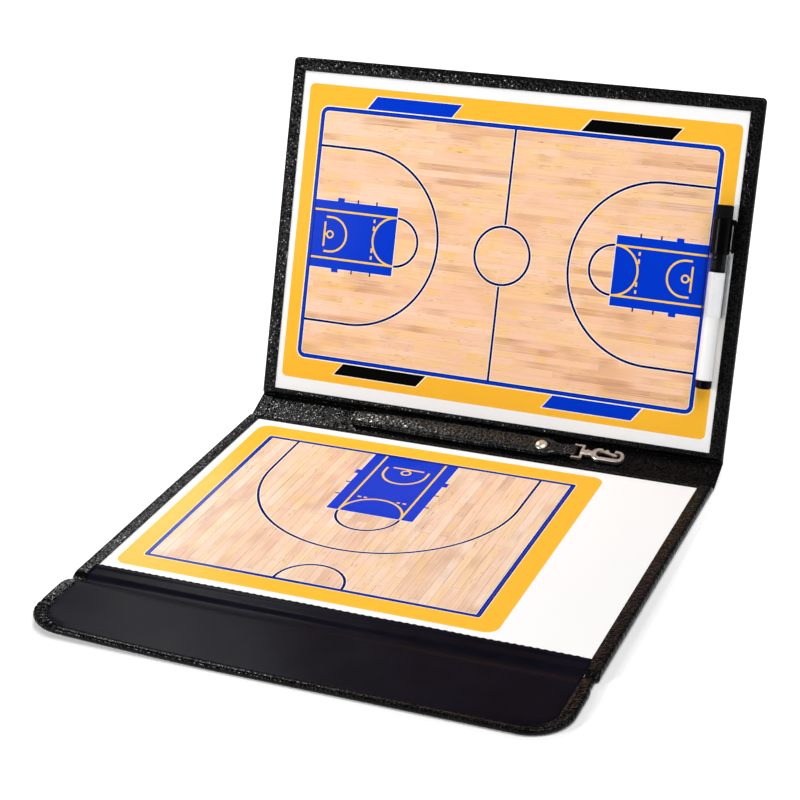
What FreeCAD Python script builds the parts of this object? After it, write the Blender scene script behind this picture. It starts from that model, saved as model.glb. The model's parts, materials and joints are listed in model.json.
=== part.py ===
import FreeCAD
import Part
import math
import os

Vector = FreeCAD.Vector

# A folding tactics board, in millimetres. It is drawn laid out flat, with X along the folds,
# Y from the closing flap to the cover's free edge and Z up from the table, and then folded up.
# The origin is the middle of the base's underside, halfway between its two creases.

# Layers of a panel, from the outside in
leather_thickness = 1.0
board_thickness = 2.0
steel_thickness = 0.3
sheet_thickness = 0.5
hem_thickness = 0.9
lining_thickness = 0.8

# Printed sheets, the same in the base and in the cover
sheet_width = 297.0
sheet_depth = 210.0
side_lap = 3.5
end_lap = 2.5
board_side_gap = 0.3

# Leather borders round the sheets
hem_width = 8.6
spine_side_border = 5.5
flap_side_border = 14.5
edge_radius = 1.4
cover_corner_radius = 3.0
cavity_corner_radius = 2.0

# Creases
crease_clearance = 0.3
hem_clearance = 0.4
hem_start = 1.5
lining_fold_radius = 0.7

# Spine
spine_width = 22.5
spine_hem_width = 9.0
spine_hem_thickness = 0.8

# How far the two spine creases are folded from flat
spine_rest_angle = 21.3
cover_rest_angle = 49.5

# Closing flap
flap_overhang = 0.4
flap_tip_depth = 30.0
flap_corner_radius = 22.0
flap_end_hem = 9.0
flap_front_hem = 2.5
flap_edge_chamfer = 0.9
stiffener_thickness = 1.2
stiffener_gap = 0.3
wrap_clearance = 3.0
magnet_diameter = 12.0
magnet_spacing = 150.0
magnet_fit = 0.1

# Marker
barrel_diameter = 10.0
barrel_wall = 1.0
barrel_length = 64.8
barrel_chamfer = 0.4
plug_length = 5.1
plug_step = 0.2
plug_chamfer = 0.9
plug_stem_length = 6.0
neck_diameter = 9.0
neck_length = 10.9
neck_stem_length = 8.0
nose_length = 5.5
nose_root_diameter = 7.0
nose_tip_diameter = 4.8
nib_diameter = 3.0
nib_reach = 4.5
nib_tip_diameter = 1.2
nib_fit = 0.05
reservoir_diameter = 6.8
stem_fit = 0.05

# Marker cap
cap_wall = 1.3
cap_fit = 0.08
cap_length = 21.5
cap_grip_length = 6.0
cap_seat_gap = 0.1
cap_cavity_diameter = 8.0
cap_top_thickness = 3.2
cap_chamfer = 0.5
clip_width = 4.0
clip_thickness = 1.2
clip_gap = 1.1
clip_root_length = 3.5
clip_end_gap = 1.0
eraser_diameter = 10.8
eraser_length = 7.7
eraser_stem_diameter = 5.2
eraser_stem_length = 2.2
eraser_fit = 0.05
eraser_chamfer = 0.6

# Clear marker sleeve
marker_inset = 15.6
sleeve_offset = 87.5
sleeve_length = 37.5
sleeve_width = 18.0
sleeve_wall = 0.6
sleeve_clearance = 0.3
sleeve_corner_across = 3.0
sleeve_corner_along = 7.0
pad_margin = 1.2
marker_lift = 0.4
stop_gap = 0.1

# Wrist strap, sewn down at its left end
strap_left = -85.0
strap_seam_length = 14.0
strap_reach = 132.0
strap_width = 12.5
strap_thickness = 3.6
strap_lift = 0.3
strap_taper_length = 6.0
strap_corner_radius = 1.5
tongue_width = 8.0
rivet_from_eye = 21.0
rivet_cap_diameter = 7.6
rivet_cap_height = 1.2
rivet_foot_diameter = 6.0
rivet_foot_height = 0.8
rivet_rim_height = 0.4
rivet_crown_diameter = 4.6
rivet_post_diameter = 3.0

# Clasp
eye_bar_diameter = 1.6
eye_hole_diameter = 2.2
eye_side_gap = 0.3
eye_arm_width = 1.3
eye_arm_thickness = 2.0
eye_length = 6.0
eye_bridge_length = 1.6
clasp_stem_diameter = 4.2
clasp_stem_length = 5.0
clasp_collar_diameter = 5.0
clasp_collar_length = 1.2
clasp_thickness = 3.2
clasp_edge_chamfer = 0.45
hook_length = 21.0
hook_width = 9.2
hook_limb = 2.1
hook_root_limb = 3.3
mouth_start = 6.6
mouth_end = 14.1
gate_pivot_along = 5.6
gate_pivot_across = 3.3
gate_drop = 2.4
gate_length = 9.9
gate_height = 1.8
gate_thickness = 1.6
gate_side_gap = 0.2
gate_eye_diameter = 2.8
gate_slot_gap = 0.3
gate_thumb_along = 3.6
gate_thumb_radius = 1.3
gate_pin_diameter = 1.2
gate_pin_fit = 0.05

# Heights in the flat layout
crease_radius = (leather_thickness + lining_thickness) / 2
board_top = leather_thickness + board_thickness
steel_top = board_top + steel_thickness
sheet_top = steel_top + sheet_thickness
panel_top = sheet_top + hem_thickness
spine_top = leather_thickness + lining_thickness
flap_board_top = leather_thickness + stiffener_thickness
flap_top = flap_board_top + lining_thickness

# Places in the flat layout
clear_width = sheet_width - 2 * side_lap
panel_width = clear_width + 2 * hem_width
clear_depth = sheet_depth - 2 * end_lap
base_depth = spine_side_border + clear_depth + flap_side_border
lower_crease = base_depth / 2
upper_crease = lower_crease + spine_width
flap_crease = -base_depth / 2
flap_root_depth = spine_width + flap_top + wrap_clearance
tip_crease = flap_crease - flap_root_depth
cover_edge = upper_crease + spine_side_border + clear_depth + hem_width
skin_setback = crease_radius + crease_clearance
stack_setback = crease_radius + spine_hem_thickness + hem_clearance
half_panel = panel_width / 2
half_clear = clear_width / 2
half_board = half_panel - leather_thickness - board_side_gap
half_flap = half_panel + flap_overhang
spine_middle = lower_crease + spine_width / 2

# Points this close are the same point
tolerance = 1e-6


# Basic shapes
def block(left, right, front, back, bottom, top):
    return Part.makeBox(right - left, back - front, top - bottom, Vector(left, front, bottom))


# A face inside an outline of (across, along) points; an item of two points is an arc by its middle and end
def face_of(steps, to_space):
    start = to_space(*steps[0])
    here = start
    edges = []
    for step in steps[1:]:
        if isinstance(step[0], tuple):
            middle = to_space(*step[0])
            there = to_space(*step[1])
            edges.append(Part.Arc(here, middle, there).toShape())
        else:
            there = to_space(*step)
            edges.append(Part.LineSegment(here, there).toShape())
        here = there
    if not here.isEqual(start, tolerance):
        edges.append(Part.LineSegment(here, start).toShape())
    return Part.Face(Part.Wire(edges))


def seen_from_side(left):
    return lambda along, height: Vector(left, along, height)


def seen_from_front(place):
    return lambda across, height: Vector(across, place, height)


def seen_from_above(height):
    return lambda across, along: Vector(across, along, height)


# A profile of (along, height) points, drawn out across the board
def drawn_across(steps, left, right):
    return face_of(steps, seen_from_side(left)).extrude(Vector(right - left, 0, 0))


# A profile of (radius, along) points, turned about the marker's own axis
def turned(steps):
    face = face_of(steps, seen_from_above(0))
    return face.revolve(Vector(0, 0, 0), Vector(0, 1, 0), 360)


def edges_where(shape, test):
    return [edge for edge in shape.Edges if test(edge)]


def level_edge(edge, height):
    return all(abs(vertex.Z - height) < tolerance for vertex in edge.Vertexes)


def edge_at_place(edge, place):
    return all(abs(vertex.Y - place) < tolerance for vertex in edge.Vertexes)


# Folding up from the flat layout
def fold_spine(shape):
    return shape.rotated(Vector(0, lower_crease, crease_radius), Vector(1, 0, 0), spine_rest_angle)


def fold_cover(shape):
    opened = shape.rotated(Vector(0, upper_crease, crease_radius), Vector(1, 0, 0), cover_rest_angle)
    return fold_spine(opened)


# Outlines of the panels and the flap, seen from above
def rounded_plan(half_width, near, far, radius):
    turn = math.copysign(radius, far - near)
    inset = radius * (1 - math.sqrt(0.5))
    shift = math.copysign(inset, far - near)
    return [
        (-half_width, near),
        (half_width, near),
        (half_width, far - turn),
        ((half_width - inset, far - shift), (half_width - radius, far)),
        (-half_width + radius, far),
        ((-half_width + inset, far - shift), (-half_width, far - turn)),
    ]


def square_plan(half_width, near, far):
    return [(-half_width, near), (half_width, near), (half_width, far), (-half_width, far)]


def plate(plan, bottom, top):
    return face_of(plan, seen_from_above(bottom)).extrude(Vector(0, 0, top - bottom))


def rim_edges(shape, top, open_ends):
    def on_rim(edge):
        level = level_edge(edge, 0) or level_edge(edge, top)
        return level and not any(edge_at_place(edge, place) for place in open_ends)

    return edges_where(shape, on_rim)


# Base panel
def base_outer_leather():
    front = flap_crease + skin_setback
    back = lower_crease - skin_setback
    slab = plate(square_plan(half_panel, front, back), 0, panel_top)
    skin = slab.makeFillet(edge_radius, rim_edges(slab, panel_top, [front, back]))
    inner = half_panel - leather_thickness
    skin = skin.cut(block(-inner, inner, front, back, leather_thickness, sheet_top))
    skin = skin.cut(block(-half_clear, half_clear, front, back, sheet_top, panel_top))
    front_step = flap_crease + stack_setback
    back_step = lower_crease - stack_setback
    skin = skin.cut(block(-half_panel, half_panel, front, front_step, leather_thickness, panel_top))
    return skin.cut(block(-half_panel, half_panel, back_step, back, leather_thickness, panel_top))


base_sheet_back = lower_crease - spine_side_border + end_lap
base_sheet_front = base_sheet_back - sheet_depth
base_board_front = flap_crease + stack_setback + lining_thickness


def base_core_board():
    return block(-half_board, half_board, base_board_front, base_sheet_back, leather_thickness, board_top)


def base_steel_sheet():
    half = sheet_width / 2
    return block(-half, half, base_sheet_front, base_sheet_back, board_top, steel_top)


def base_court_sheet():
    half = sheet_width / 2
    return block(-half, half, base_sheet_front, base_sheet_back, steel_top, sheet_top)


# A lining edge that laps over the sheet, turns down at the board's end and lies on the skin at the crease.
# The lap's edge, the board's end and the crease are given, and toward is 1 if the crease lies further back.
def lap_lining(lap_edge, board_end, crease, toward):
    face = crease - toward * stack_setback
    foot = crease - toward * skin_setback
    top = sheet_top + lining_thickness
    slope = lining_fold_radius * (1 - math.sqrt(0.5))
    steps = [
        (lap_edge, sheet_top),
        (board_end, sheet_top),
        (board_end, leather_thickness),
        (foot, leather_thickness),
        (foot, spine_top),
        (face, spine_top),
        (face, top - lining_fold_radius),
        ((face - toward * slope, top - slope), (face - toward * lining_fold_radius, top)),
        (lap_edge, top),
    ]
    return drawn_across(steps, -half_clear, half_clear)


def base_rear_lining():
    return lap_lining(base_sheet_back - end_lap, base_sheet_back, lower_crease, 1)


def base_front_lining():
    lap_edge = base_sheet_front + end_lap
    face = flap_crease + stack_setback
    foot = flap_crease + skin_setback
    lap_top = sheet_top + lining_thickness
    border_top = board_top + lining_thickness
    slope = lining_fold_radius * (1 - math.sqrt(0.5))
    steps = [
        (lap_edge, sheet_top),
        (base_sheet_front, sheet_top),
        (base_sheet_front, board_top),
        (base_board_front, board_top),
        (base_board_front, leather_thickness),
        (foot, leather_thickness),
        (foot, spine_top),
        (face, spine_top),
        (face, border_top - lining_fold_radius),
        ((face + slope, border_top - slope), (face + lining_fold_radius, border_top)),
        (base_sheet_front - lining_thickness, border_top),
        (base_sheet_front - lining_thickness, lap_top),
        (lap_edge, lap_top),
    ]
    return drawn_across(steps, -half_clear, half_clear)


# Soft strips that bend at both ends, the spine and the flap's root
def crease_strip(half_width, near, far):
    steps = [
        (near, 0),
        (far, 0),
        ((far + crease_radius, crease_radius), (far, spine_top)),
        (near, spine_top),
        ((near - crease_radius, crease_radius), (near, 0)),
    ]
    return drawn_across(steps, -half_width, half_width)


def strip_skin(half_width, near, far, hem, hem_near, hem_far):
    skin = crease_strip(half_width, near, far)
    below = block(-half_width, half_width, near - skin_setback, far + skin_setback, 0, leather_thickness)
    skin = skin.common(below)
    hem_top = spine_top + spine_hem_thickness
    for side in (-1, 1):
        outer = side * half_width
        inner = side * (half_width - hem)
        wall = side * (half_width - leather_thickness)
        turned_hem = block(min(outer, inner), max(outer, inner), hem_near, hem_far, spine_top, hem_top)
        fold = block(min(outer, wall), max(outer, wall), hem_near, hem_far, leather_thickness, spine_top)
        skin = skin.fuse(fold).fuse(turned_hem)
    return skin.removeSplitter()


def strip_lining(half_width, near, far):
    inner = half_width - leather_thickness
    above = block(-inner, inner, near - skin_setback, far + skin_setback, leather_thickness, spine_top)
    return crease_strip(half_width, near, far).common(above)


def spine_outer_leather():
    near = lower_crease + hem_start
    far = upper_crease - hem_start
    return strip_skin(half_panel, lower_crease, upper_crease, spine_hem_width, near, far)


def spine_lining():
    return strip_lining(half_panel, lower_crease, upper_crease)


# Cover panel
cover_sheet_near = upper_crease + spine_side_border - end_lap
cover_sheet_far = cover_sheet_near + sheet_depth


def cover_outer_leather():
    near = upper_crease + skin_setback
    outline = rounded_plan(half_panel, near, cover_edge, cover_corner_radius)
    slab = plate(outline, 0, panel_top)
    skin = slab.makeFillet(edge_radius, rim_edges(slab, panel_top, [near]))
    inner = half_panel - leather_thickness
    cavity = rounded_plan(inner, near, cover_edge - leather_thickness, cavity_corner_radius)
    skin = skin.cut(plate(cavity, leather_thickness, sheet_top))
    window = square_plan(half_clear, near, cover_edge - hem_width)
    skin = skin.cut(plate(window, sheet_top, panel_top))
    step = upper_crease + stack_setback
    return skin.cut(block(-half_panel, half_panel, near, step, leather_thickness, panel_top))


def cover_core_board():
    far = cover_edge - leather_thickness - board_side_gap
    outline = rounded_plan(half_board, cover_sheet_near, far, cavity_corner_radius)
    return plate(outline, leather_thickness, board_top)


def cover_steel_sheet():
    return plate(square_plan(sheet_width / 2, cover_sheet_near, cover_sheet_far), board_top, steel_top)


def cover_court_sheet():
    return plate(square_plan(sheet_width / 2, cover_sheet_near, cover_sheet_far), steel_top, sheet_top)


def cover_lower_lining():
    return lap_lining(cover_sheet_near + end_lap, cover_sheet_near, upper_crease, -1)


# Closing flap
def flap_root_leather():
    near = tip_crease + flap_top - crease_radius + crease_clearance
    far = flap_crease - hem_start
    return strip_skin(half_flap, tip_crease, flap_crease, flap_end_hem, near, far)


def flap_root_lining():
    return strip_lining(half_flap, tip_crease, flap_crease)


flap_near = tip_crease - skin_setback
flap_edge = tip_crease - flap_tip_depth


def flap_plan(end_inset, front_inset):
    radius = flap_corner_radius - (end_inset + front_inset) / 2
    return rounded_plan(half_flap - end_inset, flap_near, flap_edge + front_inset, radius)


def flap_outer_leather():
    slab = plate(flap_plan(0, 0), 0, flap_top)
    skin = slab.makeChamfer(flap_edge_chamfer, rim_edges(slab, flap_top, [flap_near]))
    cavity = flap_plan(leather_thickness, leather_thickness)
    skin = skin.cut(plate(cavity, leather_thickness, flap_board_top))
    return skin.cut(plate(flap_plan(flap_end_hem, flap_front_hem), flap_board_top, flap_top))


def flap_lining():
    return plate(flap_plan(flap_end_hem, flap_front_hem), flap_board_top, flap_top)


magnet_place = (flap_near + flap_edge) / 2


def magnet_discs(radius):
    discs = []
    for side in (-1, 1):
        centre = Vector(side * magnet_spacing / 2, magnet_place, leather_thickness)
        discs.append(Part.makeCylinder(radius, stiffener_thickness, centre))
    return Part.makeCompound(discs)


def flap_stiffener():
    inset = leather_thickness + stiffener_gap
    card = plate(flap_plan(inset, inset), leather_thickness, flap_board_top)
    return card.cut(magnet_discs(magnet_diameter / 2 + magnet_fit))


def flap_magnets():
    return magnet_discs(magnet_diameter / 2)


# Marker and its sleeve, on the cover beside the sheet's right edge
barrel_radius = barrel_diameter / 2
barrel_bore = barrel_radius - barrel_wall
neck_radius = neck_diameter / 2
cap_radius = neck_radius + cap_fit + cap_wall
sleeve_bore = barrel_radius + sleeve_clearance
marker_across = half_panel - marker_inset
marker_height = panel_top + marker_lift + cap_radius
sleeve_near = upper_crease + sleeve_offset
cap_mouth = sleeve_near + sleeve_length + stop_gap
barrel_far = cap_mouth - neck_length
barrel_near = barrel_far - barrel_length
cap_end = cap_mouth + cap_length
collar_end = cap_mouth + cap_grip_length
nose_end = collar_end + nose_length


def on_marker_axis(shape):
    return shape.translated(Vector(marker_across, 0, marker_height))


def marker_barrel():
    steps = [
        (barrel_bore, barrel_near),
        (barrel_radius - barrel_chamfer, barrel_near),
        (barrel_radius, barrel_near + barrel_chamfer),
        (barrel_radius, barrel_far - barrel_chamfer),
        (barrel_radius - barrel_chamfer, barrel_far),
        (barrel_bore, barrel_far),
    ]
    return on_marker_axis(turned(steps))


def marker_end_plug():
    radius = barrel_radius - plug_step
    end = barrel_near - plug_length
    steps = [
        (0, end),
        (radius - plug_chamfer, end),
        (radius, end + plug_chamfer),
        (radius, barrel_near),
        (barrel_bore - stem_fit, barrel_near),
        (barrel_bore - stem_fit, barrel_near + plug_stem_length),
        (0, barrel_near + plug_stem_length),
    ]
    return on_marker_axis(turned(steps))


neck_near = barrel_far - neck_stem_length


def marker_neck():
    bore = nib_diameter / 2 + nib_fit
    steps = [
        (bore, neck_near),
        (barrel_bore - stem_fit, neck_near),
        (barrel_bore - stem_fit, barrel_far),
        (neck_radius, barrel_far),
        (neck_radius, collar_end),
        (nose_root_diameter / 2, collar_end),
        (nose_tip_diameter / 2, nose_end),
        (bore, nose_end),
    ]
    return on_marker_axis(turned(steps))


def marker_nib():
    radius = nib_diameter / 2
    tip = nose_end + nib_reach
    steps = [
        (0, neck_near),
        (radius, neck_near),
        (radius, tip - radius),
        (nib_tip_diameter / 2, tip),
        (0, tip),
    ]
    return on_marker_axis(turned(steps))


def marker_ink_reservoir():
    near = barrel_near + plug_stem_length
    radius = reservoir_diameter / 2
    steps = [(0, near), (radius, near), (radius, neck_near), (0, neck_near)]
    return on_marker_axis(turned(steps))


def cap_clip():
    inner = cap_radius + clip_gap
    outer = inner + clip_thickness
    root = cap_end - cap_chamfer
    free_end = cap_mouth + clip_end_gap
    bump = clip_gap / 2
    steps = [
        (neck_radius + cap_fit + cap_wall / 2, root - clip_root_length),
        (inner, root - clip_root_length),
        (inner, free_end + 2 * bump + clip_thickness),
        ((inner - bump, free_end + bump + clip_thickness), (inner, free_end + clip_thickness)),
        (inner + clip_thickness / 2, free_end),
        (outer, free_end + clip_thickness),
        (outer, root - clip_thickness),
        (outer - clip_thickness, root),
        (neck_radius + cap_fit + cap_wall / 2, root),
    ]
    face = face_of(steps, seen_from_above(-clip_width / 2))
    return face.extrude(Vector(0, 0, clip_width))


def marker_cap():
    grip = neck_radius + cap_fit
    cavity = cap_cavity_diameter / 2
    shoulder = collar_end + cap_seat_gap
    ceiling = cap_end - cap_top_thickness
    socket = eraser_stem_diameter / 2 + eraser_fit
    socket_floor = cap_end - eraser_stem_length - eraser_fit
    steps = [
        (grip, cap_mouth),
        (cap_radius - cap_chamfer, cap_mouth),
        (cap_radius, cap_mouth + cap_chamfer),
        (cap_radius, cap_end - cap_chamfer),
        (cap_radius - cap_chamfer, cap_end),
        (socket, cap_end),
        (socket, socket_floor),
        (0, socket_floor),
        (0, ceiling),
        (cavity, ceiling),
        (cavity, shoulder),
        (grip, shoulder),
    ]
    return on_marker_axis(turned(steps).fuse(cap_clip()).removeSplitter())


def marker_eraser():
    radius = eraser_diameter / 2
    stem = eraser_stem_diameter / 2
    end = cap_end + eraser_length
    steps = [
        (0, cap_end - eraser_stem_length),
        (stem, cap_end - eraser_stem_length),
        (stem, cap_end),
        (radius, cap_end),
        (radius, end - eraser_chamfer),
        (radius - eraser_chamfer, end),
        (0, end),
    ]
    return on_marker_axis(turned(steps))


sleeve_bottom = marker_height - sleeve_bore - sleeve_wall


def marker_sleeve():
    half = sleeve_width / 2
    outer = sleeve_bore + sleeve_wall
    floor = sleeve_bottom + sleeve_wall
    film = [
        (-half, sleeve_bottom),
        (half, sleeve_bottom),
        (half, floor),
        (outer, floor),
        (outer, marker_height),
        ((0, marker_height + outer), (-outer, marker_height)),
        (-outer, floor),
        (-half, floor),
    ]
    tunnel = [
        (-sleeve_bore, floor),
        (sleeve_bore, floor),
        (sleeve_bore, marker_height),
        ((0, marker_height + sleeve_bore), (-sleeve_bore, marker_height)),
    ]
    along = Vector(0, sleeve_length, 0)
    sleeve = face_of(film, seen_from_front(sleeve_near)).extrude(along)
    sleeve = sleeve.cut(face_of(tunnel, seen_from_front(sleeve_near)).extrude(along))
    for side in (-1, 1):
        corner = [
            (side * half, sleeve_near),
            (side * half, sleeve_near + sleeve_corner_along),
            (side * (half - sleeve_corner_across), sleeve_near),
        ]
        sleeve = sleeve.cut(plate(corner, sleeve_bottom, floor))
    return sleeve.translated(Vector(marker_across, 0, 0))


def sleeve_adhesive_pad():
    half = sleeve_width / 2 - sleeve_corner_across
    near = sleeve_near + pad_margin
    far = sleeve_near + sleeve_length - pad_margin
    pad = block(-half, half, near, far, sheet_top, sleeve_bottom)
    return pad.translated(Vector(marker_across, 0, 0))


# Wrist strap along the spine; across runs from the strap's own middle line
strap_bottom = spine_top + strap_lift
strap_top = strap_bottom + strap_thickness
strap_middle = (strap_bottom + strap_top) / 2
strap_hinge = strap_left + strap_seam_length + strap_thickness / 2 + crease_clearance
eye_place = strap_hinge + strap_reach
rivet_place = eye_place - rivet_from_eye


def on_strap_line(shape):
    return shape.translated(Vector(0, spine_middle, 0))


# A round bar across the strap, on the axis of the clasp's eye
def cross_rod(radius, start, end):
    return Part.makeCylinder(radius, end - start, Vector(eye_place, start, strap_middle), Vector(0, 1, 0))


def strap_anchor():
    half = strap_width / 2
    right = strap_left + strap_seam_length
    tail = block(strap_left, right, -half, half, spine_top, strap_top)

    def tail_corner(edge):
        upright = abs(edge.BoundBox.ZLength - (strap_top - spine_top)) < tolerance
        return upright and abs(edge.CenterOfMass.x - strap_left) < tolerance

    return on_strap_line(tail.makeFillet(strap_corner_radius, edges_where(tail, tail_corner)))


def wrist_strap():
    radius = strap_thickness / 2
    side = [
        (strap_hinge, strap_bottom),
        (eye_place, strap_bottom),
        ((eye_place + radius, strap_middle), (eye_place, strap_top)),
        (strap_hinge, strap_top),
        ((strap_hinge - radius, strap_middle), (strap_hinge, strap_bottom)),
    ]
    half = strap_width / 2
    band = face_of(side, seen_from_front(-half)).extrude(Vector(0, strap_width, 0))
    taper_start = rivet_place + rivet_cap_diameter / 2
    taper_end = taper_start + strap_taper_length
    narrow = tongue_width / 2
    outline = [
        (strap_hinge - radius, -half),
        (taper_start, -half),
        (taper_end, -narrow),
        (eye_place + radius, -narrow),
        (eye_place + radius, narrow),
        (taper_end, narrow),
        (taper_start, half),
        (strap_hinge - radius, half),
    ]
    band = band.common(plate(outline, strap_bottom, strap_top))
    eye = cross_rod(eye_hole_diameter / 2, -half, half)
    rivet_foot = Vector(rivet_place, 0, strap_bottom)
    hole = Part.makeCylinder(rivet_post_diameter / 2, strap_thickness, rivet_foot)
    recess = Part.makeCylinder(rivet_foot_diameter / 2, rivet_foot_height, rivet_foot)
    return on_strap_line(band.cut(eye).cut(hole).cut(recess))


def strap_rivet():
    head_radius = rivet_cap_diameter / 2
    post_radius = rivet_post_diameter / 2
    foot_radius = rivet_foot_diameter / 2
    crown = strap_top + rivet_cap_height
    rim = strap_top + rivet_rim_height
    steps = [
        (0, strap_bottom),
        (foot_radius, strap_bottom),
        (foot_radius, strap_bottom + rivet_foot_height),
        (post_radius, strap_bottom + rivet_foot_height),
        (post_radius, strap_top),
        (head_radius, strap_top),
        (head_radius, rim),
        (rivet_crown_diameter / 2, crown),
        (0, crown),
    ]
    rivet = turned(steps).rotated(Vector(0, 0, 0), Vector(1, 0, 0), 90)
    return on_strap_line(rivet.translated(Vector(rivet_place, 0, 0)))


# Clasp: an eye bar through the strap's tongue, a stem and a hook that a sprung gate closes
hook_start = eye_place + eye_length + clasp_stem_length
hook_end = hook_start + hook_length
hook_half = hook_width / 2
clasp_bottom = strap_middle - clasp_thickness / 2
pivot_along = hook_start + gate_pivot_along


def clasp_eye():
    inner = tongue_width / 2 + eye_side_gap
    outer = inner + eye_arm_width
    bottom = strap_middle - eye_arm_thickness / 2
    top = strap_middle + eye_arm_thickness / 2
    far_end = eye_place + eye_length
    bridge = block(far_end - eye_bridge_length, far_end, -outer, outer, bottom, top)
    eye = cross_rod(eye_bar_diameter / 2, -inner, inner).fuse(bridge)
    for side in (-1, 1):
        start = min(side * inner, side * outer)
        end = max(side * inner, side * outer)
        arm = block(eye_place, far_end, start, end, bottom, top)
        round_end = cross_rod(eye_arm_thickness / 2, start, end)
        eye = eye.fuse(arm).fuse(round_end)
    return eye


# A disc on the axis that the gate turns about
def on_gate_pivot(radius, bottom, top):
    return Part.makeCylinder(radius, top - bottom, Vector(pivot_along, gate_pivot_across, bottom))


def gate_pin():
    return on_gate_pivot(gate_pin_diameter / 2, clasp_bottom, clasp_bottom + clasp_thickness)


def slot_plan(start, end, half):
    return [
        (start + half, -half),
        (end - half, -half),
        ((end, 0), (end - half, half)),
        (start + half, half),
        ((start, 0), (start + half, -half)),
    ]


def clasp_hook():
    top = clasp_bottom + clasp_thickness
    hook = plate(slot_plan(hook_start, hook_end, hook_half), clasp_bottom, top)
    opening_half = hook_half - hook_limb
    opening = slot_plan(hook_start + hook_root_limb, hook_end - hook_limb, opening_half)
    hook = hook.cut(plate(opening, clasp_bottom, top))
    mouth_edge = hook_start + mouth_start
    hook = hook.cut(block(mouth_edge, hook_start + mouth_end, 0, hook_half, clasp_bottom, top))

    def outer_rim(edge):
        flat = level_edge(edge, clasp_bottom) or level_edge(edge, top)
        return flat and max(abs(edge.BoundBox.YMin), abs(edge.BoundBox.YMax)) > hook_half - tolerance

    hook = hook.makeChamfer(clasp_edge_chamfer, edges_where(hook, outer_rim))
    slot_half = gate_thickness / 2 + gate_side_gap
    slot_bottom = strap_middle - slot_half
    slot_top = strap_middle + slot_half
    slot_reach = gate_eye_diameter / 2 + gate_slot_gap
    slot = on_gate_pivot(slot_reach, slot_bottom, slot_top)
    slot = slot.fuse(block(pivot_along, mouth_edge, 0, hook_half, slot_bottom, slot_top))
    return hook.cut(slot).cut(gate_pin())


def clasp_body():
    along = Vector(1, 0, 0)
    stem_start = Vector(eye_place + eye_length - eye_bridge_length, 0, strap_middle)
    stem_length = eye_bridge_length + clasp_stem_length + hook_root_limb / 2
    stem = Part.makeCylinder(clasp_stem_diameter / 2, stem_length, stem_start, along)
    collar_start = Vector(hook_start - (clasp_stem_length + clasp_collar_length) / 2, 0, strap_middle)
    collar = Part.makeCylinder(clasp_collar_diameter / 2, clasp_collar_length, collar_start, along)
    clasp_top = clasp_bottom + clasp_thickness
    room = block(stem_start.x, hook_end, -hook_half, hook_half, clasp_bottom, clasp_top)
    stem = stem.fuse(collar).common(room)
    body = clasp_eye().fuse(stem).fuse(clasp_hook())
    return on_strap_line(body.removeSplitter())


def clasp_gate():
    half = gate_height / 2
    lean = math.degrees(math.asin(gate_drop / gate_length))
    bottom = strap_middle - gate_thickness / 2
    eye = Part.makeCylinder(gate_eye_diameter / 2, gate_thickness, Vector(0, 0, bottom))
    round_tip = ((gate_length + half, 0), (gate_length, half))
    lever = plate([(0, -half), (gate_length, -half), round_tip, (0, half)], bottom, bottom + gate_thickness)
    thumb = Part.makeCylinder(gate_thumb_radius, gate_thickness, Vector(gate_thumb_along, half, bottom))
    hole = Part.makeCylinder(gate_pin_diameter / 2 + gate_pin_fit, gate_thickness, Vector(0, 0, bottom))
    gate = eye.fuse(lever).fuse(thumb).removeSplitter().cut(hole)
    gate = gate.rotated(Vector(0, 0, 0), Vector(0, 0, 1), -lean)
    return on_strap_line(gate.translated(Vector(pivot_along, gate_pivot_across, 0)))


def clasp_gate_pin():
    return on_strap_line(gate_pin())


# Every piece, with the fold that carries it
lying_flat = [
    base_outer_leather, base_core_board, base_steel_sheet, base_court_sheet, base_rear_lining,
    base_front_lining, flap_root_leather, flap_root_lining, flap_outer_leather, flap_lining,
    flap_stiffener, flap_magnets,
]
on_the_spine = [
    spine_outer_leather, spine_lining, strap_anchor, wrist_strap, strap_rivet,
    clasp_body, clasp_gate, clasp_gate_pin,
]
on_the_cover = [
    cover_outer_leather, cover_core_board, cover_steel_sheet, cover_court_sheet, cover_lower_lining,
    marker_sleeve, sleeve_adhesive_pad, marker_barrel, marker_end_plug, marker_neck, marker_nib,
    marker_ink_reservoir, marker_cap, marker_eraser,
]

os.makedirs("parts", exist_ok=True)
for make in lying_flat:
    make().exportStep("parts/" + make.__name__ + ".step")
for make in on_the_spine:
    fold_spine(make()).exportStep("parts/" + make.__name__ + ".step")
for make in on_the_cover:
    fold_cover(make()).exportStep("parts/" + make.__name__ + ".step")
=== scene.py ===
import json
import math
import bmesh
import bpy
from mathutils import Matrix, Vector, geometry, noise


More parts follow.
